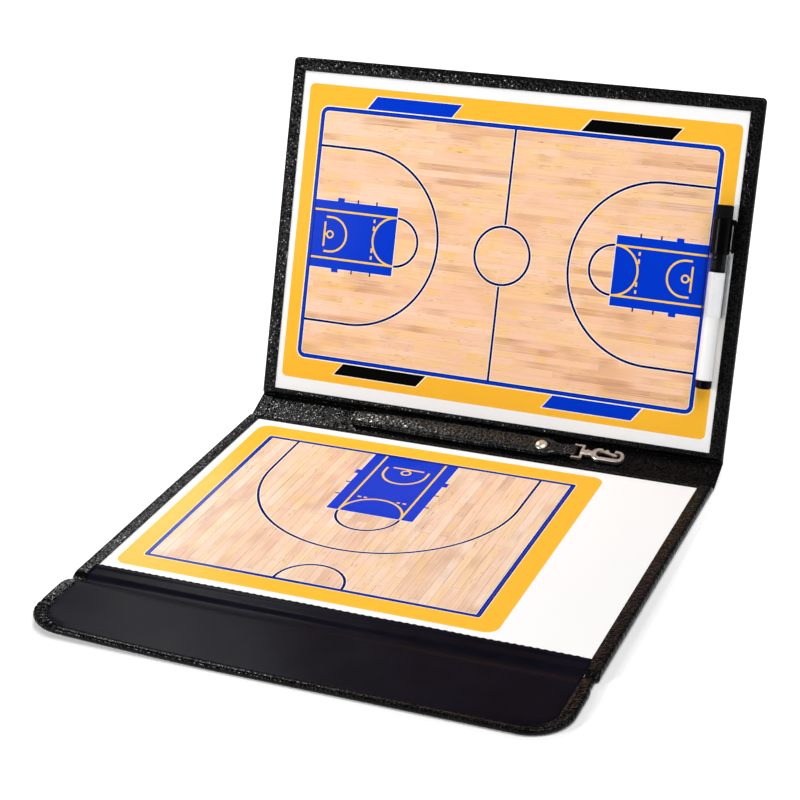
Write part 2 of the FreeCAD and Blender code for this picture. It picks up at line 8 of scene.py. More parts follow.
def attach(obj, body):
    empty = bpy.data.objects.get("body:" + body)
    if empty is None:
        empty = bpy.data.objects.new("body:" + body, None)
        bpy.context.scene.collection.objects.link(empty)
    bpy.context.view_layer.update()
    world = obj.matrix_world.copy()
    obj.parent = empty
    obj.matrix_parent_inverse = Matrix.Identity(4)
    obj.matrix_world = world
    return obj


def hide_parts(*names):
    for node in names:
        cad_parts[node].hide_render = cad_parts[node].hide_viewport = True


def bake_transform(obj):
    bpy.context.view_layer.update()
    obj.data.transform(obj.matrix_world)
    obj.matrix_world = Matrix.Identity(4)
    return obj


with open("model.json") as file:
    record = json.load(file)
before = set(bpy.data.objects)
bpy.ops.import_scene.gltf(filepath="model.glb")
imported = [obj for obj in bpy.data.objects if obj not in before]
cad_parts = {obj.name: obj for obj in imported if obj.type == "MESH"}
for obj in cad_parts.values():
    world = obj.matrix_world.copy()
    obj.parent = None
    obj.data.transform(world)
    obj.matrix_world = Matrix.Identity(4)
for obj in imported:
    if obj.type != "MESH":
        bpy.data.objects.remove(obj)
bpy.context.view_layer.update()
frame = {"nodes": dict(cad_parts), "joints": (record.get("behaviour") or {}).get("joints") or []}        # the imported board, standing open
nodes = frame["nodes"]
joints = {joint["name"]: joint for joint in frame["joints"]}
mm = 0.001

# The folder in millimetres, laid out flat: x along the folds, y from the flap to the cover, z up
folder = {
    "half": 153.6, "window": 145.0, "sheetTop": 3.8, "rear": 107.0, "front": -98.0, "coverLow": 140.5,
    "coverHigh": 345.5, "coverEdge": 354.1, "coverCorner": 3.0, "bendReach": 2.4, "edgeRound": 1.7,
    "edgeWear": 1.6, "lapDrop": 0.3, "lapRound": 0.5, "mitreDepth": 0.4, "mitreWidth": 0.45, "wallStep": 0.05,
    "hemTop": 4.7, "hemCrown": 0.22, "hemWidth": 8.6,
    "hemWaves": (0.1, 7.0), "liningWaves": ((0.12, 9.0, 0.0), (0.18, 26.0, 4.0)),        # height, size, seed
}
lowerAxis = Vector(joints["spine_fold_lower"]["pos_m"]) / mm
upperAxis = Vector(joints["spine_fold_upper"]["pos_m"]) / mm
flapAxis = Vector(joints["flap_root_fold"]["pos_m"]) / mm
tipAxis = Vector(joints["flap_tip_fold"]["pos_m"]) / mm
creaseHeight = lowerAxis.z
lowerCrease = lowerAxis.y
upperCrease = lowerCrease + (upperAxis - lowerAxis).length
spineTurn = -joints["spine_fold_lower"]["range_deg"][0]
coverTurn = -joints["spine_fold_upper"]["range_deg"][0]
spineMiddle = (lowerCrease + upperCrease) / 2
rootMiddle = (flapAxis.y + tipAxis.y) / 2


def rise(t):
    t = min(max(t, 0.0), 1.0)
    return t * t * (3 - 2 * t)


def mix(a, b, t):
    return a + (b - a) * t


def below(value, start, span):        # 0 down to a start, 1 from a span under it
    return rise((start - value) / span)


def ridge(value, place, width):
    return math.exp(-((value - place) / width) ** 2)


def roundOff(distance, radius):        # 0 at an edge, 1 from a radius in
    t = min(max(distance / radius, 0.0), 1.0)
    return math.sqrt(1 - (1 - t) ** 2)


def upperFace(level, distance, radius):        # both faces meet halfway up at a rounded edge
    return level / 2 + level / 2 * roundOff(distance, radius)


def lowerFace(level, distance, radius):
    return level / 2 - level / 2 * roundOff(distance, radius)


def cornerCut(radius, past):        # how far a round corner has drawn in, this far past its start
    return radius - math.sqrt(max(0.0, radius ** 2 - max(0.0, past) ** 2))


def ripple(x, y, size, seed=0.0):
    return noise.noise(Vector((x / size, y / size, seed)))


# A point of the flat layout, as it stands with the spine and the cover folded up
def folded(x, y, z):
    point = Vector((x, y, z))
    for crease, turn in ((upperCrease, coverTurn), (lowerCrease, spineTurn)):
        share = rise((y - crease + folder["bendReach"]) / (2 * folder["bendReach"]))
        pivot = Vector((0, crease, creaseHeight))
        point = pivot + Matrix.Rotation(math.radians(turn) * share, 3, "X") @ (point - pivot)
    return point * mm


def between(y, steps):        # a level that moves smoothly from step to step
    level = steps[0][1]
    for (y0, z0), (y1, z1) in zip(steps, steps[1:]):
        if y >= y0:
            level = mix(z0, z1, rise((y - y0) / (y1 - y0)))
    return level


# Materials
def tint(red, green, blue):        # screen colour, 0 to 255, as linear light
    def linear(c):
        c /= 255
        return c / 12.92 if c <= 0.04045 else ((c + 0.055) / 1.055) ** 2.4
    return (linear(red), linear(green), linear(blue), 1.0)


def shaded(colour, share):
    return tuple(share * c for c in colour[:3]) + (1.0,)


class Recipe:        # a material's nodes, made and joined in short lines
    def __init__(self, name):
        self.material = bpy.data.materials.new(name)
        self.material.use_nodes = True
        self.tree = self.material.node_tree
        self.shader = self.tree.nodes["Principled BSDF"]

    def node(self, kind, settings=None, **inputs):
        made = self.tree.nodes.new("ShaderNode" + kind)
        for key, value in (settings or {}).items():
            setattr(made, key, value)
        for key, value in inputs.items():
            self.put(made, key, value)
        return made

    def put(self, made, key, value):        # i0, i1 and so on are sockets by number
        place = int(key[1:]) if key[0] == "i" and key[1:].isdigit() else key.replace("_", " ")
        if isinstance(value, bpy.types.NodeSocket):
            self.tree.links.new(value, made.inputs[place])
        else:
            made.inputs[place].default_value = value

    def set(self, **inputs):
        for key, value in inputs.items():
            self.put(self.shader, key, value)

    def maths(self, operation, a, b=0.0):
        return self.node("Math", {"operation": operation}, i0=a, i1=b).outputs[0]

    def times(self, a, b):
        return self.maths("MULTIPLY", a, b)

    def plus(self, a, b):
        return self.maths("ADD", a, b)

    def vector(self, operation, a, b, c=(0.0, 0.0, 0.0)):
        return self.node("VectorMath", {"operation": operation}, i0=a, i1=b, i2=c).outputs

    def span(self, value, low, high, start=0.0, end=1.0):        # a smooth step between two levels
        made = self.node("MapRange", {"interpolation_type": "SMOOTHSTEP"}, Value=value, From_Min=low,
                         From_Max=high, To_Min=start, To_Max=end)
        return made.outputs[0]

    def blend(self, share, first, second):
        return self.node("Mix", {"data_type": "RGBA"}, i0=share, i6=first, i7=second).outputs[2]

    def noise(self, place, scale, detail=2.0, rough=0.5):
        made = self.node("TexNoise", Vector=place, Scale=scale, Detail=detail, Roughness=rough)
        return made.outputs["Fac"]

    def laidFlat(self):        # the point's place in the flat layout, kept on the mesh
        return self.node("Attribute", {"attribute_name": "flatPlace"}).outputs["Vector"]

    def inSpace(self):
        return self.node("TexCoord").outputs["Object"]

    def attribute(self, name):
        return self.node("Attribute", {"attribute_name": name}).outputs["Fac"]

    def bump(self, height, distance, strength=1.0):
        made = self.node("Bump", Height=height, Distance=distance, Strength=strength)
        self.put(self.shader, "Normal", made.outputs[0])


spread = (0.3, 0.7)        # most of a noise lies between these

# Pebbled leather: low grains that lean this way and that, glossy on top and dull in the creases between
grain = {
    "pebble": 0.0018, "wander": 420.0, "shift": 0.0009, "crownBand": (0.6, 0.3), "dome": 0.00014,
    "groove": 0.00005, "lean": 0.25, "fine": 2600.0, "fineDepth": 0.000012, "drift": 55.0,
    "driftDepth": 0.0004, "valley": tint(2, 2, 3), "crown": tint(5, 5, 6), "worn": tint(16, 15, 18),
    "wornBand": (0.35, 0.7), "valleyRough": 0.35, "crownRough": 0.1, "roughDrift": 0.04, "shine": 0.12,
}


def leatherMaterial(name, look):
    recipe = Recipe(name)
    place = recipe.laidFlat()
    wander = recipe.node("TexNoise", Vector=place, Scale=look["wander"], Detail=1.0).outputs["Color"]
    shifted = recipe.vector("MULTIPLY_ADD", wander, (look["shift"],) * 3, place)[0]
    grains = recipe.node("TexVoronoi", {"feature": "F1", "voronoi_dimensions": "2D"}, Vector=shifted,
                         Scale=1 / look["pebble"]).outputs
    crown = recipe.span(grains["Distance"], *look["crownBand"])
    dome = recipe.maths("SUBTRACT", 1.0, recipe.times(grains["Distance"], grains["Distance"]))
    lean = recipe.vector("SUBTRACT", grains["Color"], (0.5, 0.5, 0.5))[0]
    lean = recipe.vector("MULTIPLY", lean, (look["lean"], look["lean"], 0.0))[0]
    offset = recipe.vector("SUBTRACT", shifted, grains["Position"])[0]
    tilt = recipe.vector("DOT_PRODUCT", offset, lean)["Value"]
    fine = recipe.noise(place, look["fine"])
    drift = recipe.noise(place, look["drift"], 3.0)
    height = recipe.times(recipe.plus(tilt, look["groove"]), crown)
    for part, depth in ((dome, look["dome"]), (fine, look["fineDepth"]), (drift, look["driftDepth"])):
        height = recipe.plus(height, recipe.times(part, depth))
    recipe.bump(height, 1.0)
    worn = recipe.times(recipe.attribute("wear"), recipe.span(drift, *look["wornBand"]))
    colour = recipe.blend(worn, recipe.blend(crown, look["valley"], look["crown"]), look["worn"])
    rough = recipe.span(crown, 0.0, 1.0, look["valleyRough"], look["crownRough"])
    recipe.set(Base_Color=colour, Roughness=recipe.plus(rough, recipe.times(drift, look["roughDrift"])))
    recipe.set(IOR=1.5, Specular_IOR_Level=look["shine"])
    return recipe.material


leather = leatherMaterial("grainedLeather", grain)
strapLeather = leatherMaterial("strapLeather", {**grain, "shine": 0.45})

# Smooth lining: a fine calender print and slow unevenness
liningLook = {
    "fine": 2400.0, "drift": 40.0, "pores": 900.0, "poreBand": (0.62, 0.74), "depth": 0.00012,
    "fineDepth": 0.35, "poreDepth": 0.2, "driftDepth": 1.5, "shade": tint(12, 10, 18),
    "face": tint(16, 14, 25), "poreShade": 0.5, "rough": 0.32, "roughDrift": 0.03, "shine": 0.02,
}


def liningMaterial(name, look):
    recipe = Recipe(name)
    place = recipe.laidFlat()
    fine = recipe.times(recipe.noise(place, look["fine"], 3.0), look["fineDepth"])
    drift = recipe.noise(place, look["drift"], 3.0)
    pores = recipe.span(recipe.noise(place, look["pores"]), *look["poreBand"])
    height = recipe.maths("SUBTRACT", fine, recipe.times(pores, look["poreDepth"]))
    recipe.bump(recipe.plus(height, recipe.times(drift, look["driftDepth"])), look["depth"])
    colour = recipe.blend(recipe.span(drift, *spread), look["shade"], look["face"])
    recipe.set(Base_Color=recipe.blend(recipe.times(pores, look["poreShade"]), colour, look["shade"]))
    recipe.set(Roughness=recipe.span(drift, *spread, look["rough"], look["rough"] + look["roughDrift"]))
    recipe.set(IOR=1.5, Specular_IOR_Level=look["shine"])
    return recipe.material


lining = liningMaterial("smoothLining", liningLook)
threadLook = {
    "colour": tint(12, 12, 13), "dark": 0.6, "twist": 900.0, "uneven": 1.5, "depth": 0.0001, "strength": 0.6,
    "rough": 0.6, "shine": 0.15,
}


def threadMaterial(name, look):
    recipe = Recipe(name)
    twist = recipe.node("TexWave", {"bands_direction": "DIAGONAL"}, Vector=recipe.inSpace(),
                        Scale=look["twist"], Distortion=look["uneven"]).outputs["Fac"]
    recipe.bump(twist, look["depth"], look["strength"])
    recipe.set(Base_Color=recipe.blend(twist, look["colour"], shaded(look["colour"], look["dark"])))
    recipe.set(Roughness=look["rough"], Specular_IOR_Level=look["shine"])
    return recipe.material


thread = threadMaterial("sewingThread", threadLook)
print("materials for the leather are ready")

# A laminated print: one ink, clouded and speckled, under a clear film with faint scuffs all one way
printLook = {
    "clouds": 45.0, "specks": 2600.0, "slant": 0.7, "scuffs": (40.0, 900.0, 40.0), "scuffBand": (0.45, 0.8),
    "clear": 0.16, "scuffed": 0.26, "waves": 14.0, "waveDepth": 0.0004, "waveStrength": 0.25,
}


def film(recipe, place, shine):
    look = printLook
    slanted = recipe.node("Mapping", Vector=place, Rotation=(0, 0, look["slant"]), Scale=look["scuffs"])
    scuffs = recipe.noise(slanted.outputs[0], 1.0, 3.0)
    rough = recipe.span(scuffs, *look["scuffBand"], look["clear"], look["scuffed"])
    recipe.set(Roughness=rough, Specular_IOR_Level=shine)
    recipe.bump(recipe.noise(place, look["waves"], 1.0), look["waveDepth"], look["waveStrength"])


def printMaterial(name, colour, depth, shine):
    recipe = Recipe(name)
    place = recipe.laidFlat()
    clouds = recipe.noise(place, printLook["clouds"], 3.0)
    specks = recipe.noise(place, printLook["specks"])
    recipe.set(Base_Color=recipe.blend(recipe.times(clouds, specks), colour, shaded(colour, 1 - depth)))
    film(recipe, place, shine)
    return recipe.material


# A printed maple floor: staggered strips of several tones, with grain, dark cracks and soft brown streaks.
# Each pattern has its scales along and across, or its scale and seed along the rows, and its noise band.
floorPrint = {
    "bricks": {"offset": 0.41, "offset_frequency": 3, "squash": 1.35, "squash_frequency": 2}, "seamSoft": 0.3,
    "stripShift": 37.0, "rowShift": 7.3, "clouds": 0.03, "cloudTop": 0.9, "fibres": (0.025, 1.9),
    "darkBand": (0.48, 0.75), "lightBand": (0.5, 0.25), "light": 0.4,
    "gold": (0.045, 3.0), "goldBand": (0.58, 0.66), "heart": (0.017, 9.0), "heartBand": (0.54, 0.68),
    "heartFibres": (0.3, 0.62), "heartLeast": 0.25,
    "cracks": (0.13, 2.6), "crackBand": (0.64, 0.72), "cracked": (0.02, 15.0), "crackedBand": (0.42, 0.62),
    "crackLeast": 0.15, "seams": (0.02, 21.0), "seamBand": (0.4, 0.62), "seamLeast": 0.2,
}


def woodPrintMaterial(name, look, shine):
    recipe = Recipe(name)
    wood = floorPrint
    place = recipe.laidFlat()
    parts = recipe.node("SeparateXYZ", Vector=place).outputs
    along, across = (parts[1], parts[0]) if look["upright"] else (parts[0], parts[1])
    along, across = recipe.times(along, 1 / mm), recipe.times(across, 1 / mm)

    def stretched(x, y, z=0.0):
        return recipe.node("CombineXYZ", X=recipe.times(along, x), Y=recipe.times(across, y), Z=z).outputs[0]

    strips = stretched(1.0, 1.0)
    brick = recipe.node("TexBrick", wood["bricks"], Vector=strips, Color1=(0, 0, 0, 1), Color2=(1, 1, 1, 1),
                        Mortar=(0.5, 0.5, 0.5, 1), Scale=1.0, Mortar_Size=look["seamWidth"],
                        Mortar_Smooth=wood["seamSoft"], Brick_Width=look["length"],
                        Row_Height=look["width"]).outputs
    own = recipe.times(brick["Color"], wood["stripShift"])        # moves the grain from strip to strip
    row = recipe.times(recipe.maths("FLOOR", recipe.maths("DIVIDE", across, look["width"])), wood["rowShift"])

    def alongRows(scale, seed):        # slow change along each row of strips
        spot = recipe.node("CombineXYZ", X=recipe.times(along, scale), Y=row, Z=seed).outputs[0]
        return recipe.noise(spot, 1.0)

    clouds = recipe.noise(strips, wood["clouds"])
    tone = recipe.times(brick["Color"], look["mixed"])
    tone = recipe.plus(tone, recipe.span(clouds, *spread, 0.0, wood["cloudTop"] - look["mixed"]))
    ramp = recipe.node("ValToRGB", Fac=tone)
    stops = ramp.color_ramp.elements
    for i, (at, colour) in enumerate(look["tones"]):        # the ramp's own two stops come first
        stop = stops[i] if i < 2 else stops.new(at)
        stop.position = at
        stop.color = colour
    fibres = recipe.noise(stretched(*wood["fibres"], own), 1.0, 4.0, 0.6)
    dark = recipe.span(fibres, *wood["darkBand"], 0.0, look["streak"])
    light = recipe.span(fibres, *wood["lightBand"], 0.0, wood["light"])
    golden = recipe.span(alongRows(*wood["gold"]), *wood["goldBand"], 0.0, look["golden"])
    heart = recipe.span(fibres, *wood["heartFibres"], wood["heartLeast"] * look["hearty"], look["hearty"])
    heart = recipe.times(recipe.span(alongRows(*wood["heart"]), *wood["heartBand"]), heart)
    cracks = recipe.noise(stretched(*wood["cracks"], own), 1.0)
    cracks = recipe.span(cracks, *wood["crackBand"], 0.0, look["crack"])
    cracked = recipe.span(alongRows(*wood["cracked"]), *wood["crackedBand"], wood["crackLeast"], 1.0)
    cracks = recipe.times(cracks, cracked)
    seams = recipe.span(alongRows(*wood["seams"]), *wood["seamBand"], wood["seamLeast"] * look["seam"],
                        look["seam"])
    seams = recipe.times(brick["Fac"], seams)
    colour = ramp.outputs["Color"]
    for share, shade in ((dark, "dark"), (light, "light"), (golden, "gold"), (heart, "heart"),
                         (cracks, "fleck"), (seams, "fleck")):
        colour = recipe.blend(share, colour, look[shade])
    recipe.set(Base_Color=colour)
    film(recipe, place, shine)
    return recipe.material


# Moulded plastic with a faint texture; the place is the object's own
plasticLook = {
    "fine": 2200.0, "depth": 0.00003, "strength": 0.5, "clouds": 90.0, "cloudShare": 0.35, "dark": 0.75,
    "roughDrift": 0.12,
}


def plasticMaterial(name, colour, rough, shine):
    recipe = Recipe(name)
    look = plasticLook
    place = recipe.inSpace()
    clouds = recipe.noise(place, look["clouds"], 3.0)
    recipe.bump(recipe.noise(place, look["fine"]), look["depth"], look["strength"])
    cloudy = recipe.times(clouds, look["cloudShare"])
    recipe.set(Base_Color=recipe.blend(cloudy, colour, shaded(colour, look["dark"])))
    recipe.set(Roughness=recipe.span(clouds, *spread, rough, rough + look["roughDrift"]))
    recipe.set(Specular_IOR_Level=shine)
    return recipe.material


metalLook = {"scratches": (300.0, 2600.0, 2600.0), "depth": 0.00002, "strength": 0.4, "roughDrift": 0.14}


def metalMaterial(name, colour, rough):
    recipe = Recipe(name)
    drawn = recipe.node("Mapping", Vector=recipe.inSpace(), Scale=metalLook["scratches"]).outputs[0]
    scratches = recipe.noise(drawn, 1.0)
    recipe.bump(scratches, metalLook["depth"], metalLook["strength"])
    recipe.set(Base_Color=colour, Metallic=1.0)
    recipe.set(Roughness=recipe.span(scratches, *spread, rough, rough + metalLook["roughDrift"]))
    return recipe.material


feltLook = {"fuzz": 3000.0, "depth": 0.0003, "pale": 2.2, "rough": 0.95, "sheen": 0.03, "shine": 0.1}


def feltMaterial(name, colour):
    recipe = Recipe(name)
    look = feltLook
    fuzz = recipe.noise(recipe.inSpace(), look["fuzz"], 4.0, 0.7)
    recipe.bump(fuzz, look["depth"])
    recipe.set(Base_Color=recipe.blend(fuzz, colour, shaded(colour, look["pale"])))
    recipe.set(Roughness=look["rough"], Sheen_Weight=look["sheen"], Specular_IOR_Level=look["shine"])
    return recipe.material


sleeveLook = {
    "colour": (0.965, 0.97, 0.98, 1), "haze": 160.0, "hazeBand": (0.3, 0.75), "depth": 0.0002,
    "strength": 0.35, "clear": 0.01, "hazy": 0.06, "bending": 1.12,
}


def sleeveMaterial(name, look):
    recipe = Recipe(name)
    haze = recipe.noise(recipe.inSpace(), look["haze"], 3.0)
    recipe.bump(haze, look["depth"], look["strength"])
    recipe.set(Base_Color=look["colour"], Transmission_Weight=1.0, IOR=look["bending"])
    recipe.set(Roughness=recipe.span(haze, *look["hazeBand"], look["clear"], look["hazy"]))
    return recipe.material


boardLook = {"fibres": 700.0, "depth": 0.0002, "strength": 0.6, "dark": 0.6, "rough": 0.9}


def boardMaterial(name, colour):
    recipe = Recipe(name)
    fibres = recipe.noise(recipe.inSpace(), boardLook["fibres"], 4.0, 0.65)
    recipe.bump(fibres, boardLook["depth"], boardLook["strength"])
    recipe.set(Base_Color=recipe.blend(fibres, colour, shaded(colour, boardLook["dark"])))
    recipe.set(Roughness=boardLook["rough"])
    return recipe.material


# Meshes
sharpAngle = math.radians(42)


def makePiece(name, flatPoints, faces, material, wear=None):
    mesh = bpy.data.meshes.new(name)
    mesh.from_pydata([folded(*p) for p in flatPoints], [], faces)
    kept = mesh.attributes.new("flatPlace", "FLOAT_VECTOR", "POINT")
    kept.data.foreach_set("vector", [c * mm for p in flatPoints for c in p])
    if wear:
        mesh.attributes.new("wear", "FLOAT", "POINT").data.foreach_set("value", wear)
    work = bmesh.new()
    work.from_mesh(mesh)
    bmesh.ops.recalc_face_normals(work, faces=work.faces)
    work.to_mesh(mesh)
    work.free()
    mesh.shade_smooth()
    mesh.set_sharp_from_angle(angle=sharpAngle)
    piece = bpy.data.objects.new(name, mesh)
    bpy.context.scene.collection.objects.link(piece)
    mesh.materials.append(material)
    return piece


def ringFaces(rows, count, closed=True):
    faces = []
    for r in range(rows - 1):
        for i in range(count if closed else count - 1):
            j = (i + 1) % count
            faces.append((r * count + i, r * count + j, (r + 1) * count + j, (r + 1) * count + i))
    return faces


def endFaces(count, total):        # the first and the last ring, filled
    return [tuple(range(count)), tuple(range(total - count, total))]


def arcPoints(cx, cy, radius, start, end, steps):
    turns = [math.radians(mix(start, end, i / steps)) for i in range(steps + 1)]
    return [(cx + radius * math.cos(a), cy + radius * math.sin(a)) for a in turns]


def evenRows(start, end, step):
    count = max(1, round(abs(end - start) / step))
    return [mix(start, end, i / count) for i in range(count + 1)]


edgeOffsets = [0.0, 0.12, 0.35, 0.75, 1.3, 2.0, 2.9, 3.9, 5.0, 6.1, 7.2]
lapOffsets = [0.0, 0.08, 0.25, 0.5]        # fine rows at the free edge of a lap


# Places across a row, with the near sides of both edges in fine steps
def acrossRow(half, offsets, inner, count):
    left = [-half + d for d in offsets] + [-x for x in inner]
    gap = left[-1]
    middle = [mix(gap, -gap, (i + 1) / (count + 1)) for i in range(count)]
    return left + middle + [-x for x in reversed(left)]


# A full-width strip of the folder: the inner face, both rounded sides and the outer face
def leatherStrip(name, rows, look):
    points, wear = [], []
    for y in rows:
        xs = acrossRow(look["half"](y), look["offsets"], look["inner"], look["count"])
        loop = [(x, y, look["top"](x, y)) for x in xs]
        loop += [(x, y, look["bottom"](x, y)) for x in reversed(xs[1:-1])]
        points += loop
        wear += [look["wear"](x, y) for x, y, z in loop]
    count = len(loop)
    ends = dict(zip(("first", "last"), endFaces(count, len(points))))
    faces = ringFaces(len(rows), count) + [ends[end] for end in look["caps"]]
    piece = makePiece(name, points, faces, leather, wear)
    if "lined" in look:        # the smooth part of the inner face
        piece.data.materials.append(lining)
        for face in piece.data.polygons:
            place = sum((Vector(points[i]) for i in face.vertices), Vector()) / len(face.vertices)
            inside = all(i % count < len(xs) for i in face.vertices)
            face.material_index = int(inside and look["lined"](place.x, place.y))
    return piece


# Base, spine and cover: side hems over the sheets and a lower lining between them, as (y, level) steps
hemTop = folder["hemTop"]
hemSteps = [(-200, hemTop), (109.6, hemTop), (113.4, 2.6), (134.1, 2.6), (137.9, hemTop)]
liningSteps = [(-200, 4.6), (109.7, 4.6), (113.0, 1.8), (134.5, 1.8), (137.8, 4.6)]


def hemLevel(x, y, level, d):        # a turned hem is crowned and a little uneven
    height, size = folder["hemWaves"]
    crown = folder["hemCrown"] * math.sin(math.pi * min(max(d, 0.0) / folder["hemWidth"], 1.0))
    return level + crown + height * ripple(x, y, size)


def panelTop(x, y):
    d = folder["half"] - abs(x)
    if abs(x) >= folder["window"]:
        level = hemLevel(x, y, between(y, hemSteps), d)
    else:
        level = between(y, liningSteps)
        for height, size, seed in folder["liningWaves"]:
            level += height * ripple(x, y, size, seed)
    return upperFace(level, d, folder["edgeRound"])


def panelBottom(x, y):
    return lowerFace(between(y, hemSteps), folder["half"] - abs(x), folder["edgeRound"])


def sideWear(x, y):
    return 1 - rise((folder["half"] - abs(x)) / folder["edgeWear"])


def lapEdge(y, edge, inward):        # rounds the lap's free edge
    return -folder["lapDrop"] * (1 - roundOff((y - edge) * inward, folder["lapRound"]))


def spineTop(x, y):
    edge = lapEdge(y, folder["rear"], 1) + lapEdge(y, folder["coverLow"], -1)
    return panelTop(x, y) + (edge if abs(x) < folder["window"] else 0.0)


panelStrip = {
    "half": lambda y: folder["half"], "offsets": edgeOffsets, "inner": [145.05, 144.95, 143.5, 141.0],
    "count": 44, "top": spineTop, "bottom": panelBottom, "wear": sideWear,
}
spineStep = 0.75
lowerRows = [folder["rear"] + d for d in lapOffsets] + evenRows(folder["rear"] + 1.0, spineMiddle, spineStep)
upperRows = evenRows(spineMiddle, folder["coverLow"] - 1.0, spineStep)
upperRows += [folder["coverLow"] - d for d in reversed(lapOffsets)]
spineLower = leatherStrip("spineLowerHalf", lowerRows, {**panelStrip, "caps": ["first"]})
spineUpper = leatherStrip("spineUpperHalf", upperRows, {**panelStrip, "caps": ["last"]})
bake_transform(spineLower)
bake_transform(spineUpper)
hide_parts("spine_outer_leather", "base_rear_lining")
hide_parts("spine_lining", "cover_lower_lining")
print("spine is sewn")


# A panel's outer skin with its two side hems, open over the sheet
def panelTray(name, low, high):
    half, window = folder["half"], folder["window"]
    hemPlaces = [half - d for d in edgeOffsets] + [window + folder["wallStep"]]
    rows = evenRows(low, high, 4.0)
    points, wear = [], []
    for y in rows:
        right = [(x, y, panelTop(x, y)) for x in hemPlaces] + [(window, y, folder["sheetTop"])]
        left = [(-x, y, z) for x, _, z in reversed(right)]
        under = [(x, y, panelBottom(x, y)) for x in acrossRow(half, edgeOffsets, [140.0], 20)[1:-1]]
        loop = left + under + right
        points += loop
        wear += [sideWear(x, y) for x, y, z in loop]
    return makePiece(name, points, ringFaces(len(rows), len(loop), closed=False), leather, wear)


baseTray = panelTray("baseLeather", folder["front"], folder["rear"])
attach(baseTray, "base")
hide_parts("base_outer_leather")
coverTray = panelTray("coverLeather", folder["coverLow"], folder["coverHigh"])
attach(coverTray, "cover")


# The cover's far hem, with a mitre at each corner
def insideRounded(x, y, half, edge, radius, toward):        # distance in from a rounded outline
    dx = abs(x) - (half - radius)
    dy = (y - (edge - toward * radius)) * toward
    if dx > 0 and dy > 0:
        return radius - math.hypot(dx, dy)
    return radius - max(dx, dy)


def coverIn(x, y):
    return insideRounded(x, y, folder["half"], folder["coverEdge"], folder["coverCorner"], 1)


def coverHalf(y):
    radius = folder["coverCorner"]
    return folder["half"] - cornerCut(radius, y - (folder["coverEdge"] - radius))


def coverHemTop(x, y):
    d = coverIn(x, y)
    diagonal = ((abs(x) - folder["window"]) - (y - folder["coverHigh"])) / math.sqrt(2)
    level = hemLevel(x, y, hemTop, d) - folder["mitreDepth"] * ridge(diagonal, 0.0, folder["mitreWidth"])
    if abs(x) < folder["window"]:
        level += lapEdge(y, folder["coverHigh"], 1)
    return upperFace(level, d, folder["edgeRound"])


def coverHemBottom(x, y):
    return lowerFace(hemTop, coverIn(x, y), folder["edgeRound"])


def coverWear(x, y):
    return 1 - rise(coverIn(x, y) / folder["edgeWear"])


coverRows = [folder["coverHigh"] + d for d in lapOffsets[:3]] + evenRows(346.1, 351.0, 0.6)
coverRows += [folder["coverEdge"] - d for d in (2.5, 1.9, 1.4, 1.0, 0.65, 0.4, 0.2, 0.07, 0.0)]
coverHem = leatherStrip("coverTopHem", coverRows, {
    **panelStrip, "half": coverHalf, "top": coverHemTop, "bottom": coverHemBottom, "wear": coverWear,
    "inner": [], "count": 70, "caps": ["first"]})
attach(coverHem, "cover")
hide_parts("cover_outer_leather")
print("base and cover are wrapped")

# Closing flap: the base's front border runs on into it, and it is built as two strips that meet between its
# two creases
flap = {
    "half": 153.2, "edge": -171.0, "corner": 24.0, "edgeRound": 1.5, "edgeWear": 1.4,
    "liningHalf": 145.6, "liningEdge": -167.4, "liningCorner": 19.0, "hemSpan": 0.7,
    "hemWaves": (0.12, 4.0), "liningWaves": (0.22, 34.0, 8.0),        # height, size and seed
    "curlStart": -30.0, "curlPower": 1.6, "curlRoot": 3.0, "curlTip": 3.9,
    "curlFrom": (-113, 11), "tipFrom": (-143, 28), "rollFrom": (-112, 10),        # start and span
    "gathers": ((9, 1.8), (13, 0.6)),        # count and depth at the left and at the right corner
    "gatherReach": 4, "gatherIn": 5, "gatherWidth": 0.42, "gatherWaves": (1.6, 7.0, 3.0),
    "groove": 0.4, "groovePlace": 0.3, "grooveWidth": 0.45, "roll": 0.22, "rollPlace": 1.8, "rollWidth": 1.3,
}
borderSteps = [(-200, 3.0), (-121, 3.0), (-115.5, 2.5), (-113.2, 2.5), (-107.6, 4.0), (-102.6, 4.1),
               (-100.6, 4.6)]
borderHemSteps = [(-200, 3.4), (-121, 3.4), (-115.5, 2.9), (-113.2, 2.9), (-108.4, hemTop)]
waistSteps = [(-200, flap["half"]), (-127, flap["half"]), (-121, 152.2), (-114, 152.0),
              (-112, folder["half"])]
cornerStart = flap["edge"] + flap["corner"]


def flapHalf(y):
    return between(y, waistSteps) - cornerCut(flap["corner"], cornerStart - y)


def flapLift(x, y):        # the left end curls up off the table
    end = max(0.0, (flap["curlStart"] - x) / (flap["half"] + flap["curlStart"])) ** flap["curlPower"]
    height = mix(flap["curlRoot"], flap["curlTip"], below(y, *flap["tipFrom"]))
    return end * below(y, *flap["curlFrom"]) * height


def flapEdgeDistance(x, y):
    return insideRounded(x, y, flapHalf(max(y, cornerStart)), flap["edge"], flap["corner"], -1)


def flapPleats(x, y):        # the hem is gathered round both corners, more at the left one
    reach = flap["gatherReach"]
    dx, dy = abs(x) - (flap["half"] - flap["corner"]), cornerStart - y
    if dx <= -reach or dy <= -reach:
        return 0.0
    count, depth = flap["gathers"][0 if x < 0 else 1]
    wander, size, seed = flap["gatherWaves"]
    turn = math.atan2(max(dy, 0.0), max(dx, 0.001)) / (math.pi / 2)
    ends = rise((dx + reach) / (2 * reach)) * rise((dy + reach) / (2 * reach))
    wave = math.sin(math.pi * count * turn + wander * ripple(x, y, size, seed))
    return -depth * ends * ridge(wave, 0.0, flap["gatherWidth"])


def liningDepth(x, y):        # how far inside the smooth lining, negative on the hem
    return insideRounded(x, y, flap["liningHalf"], flap["liningEdge"], flap["liningCorner"], -1)


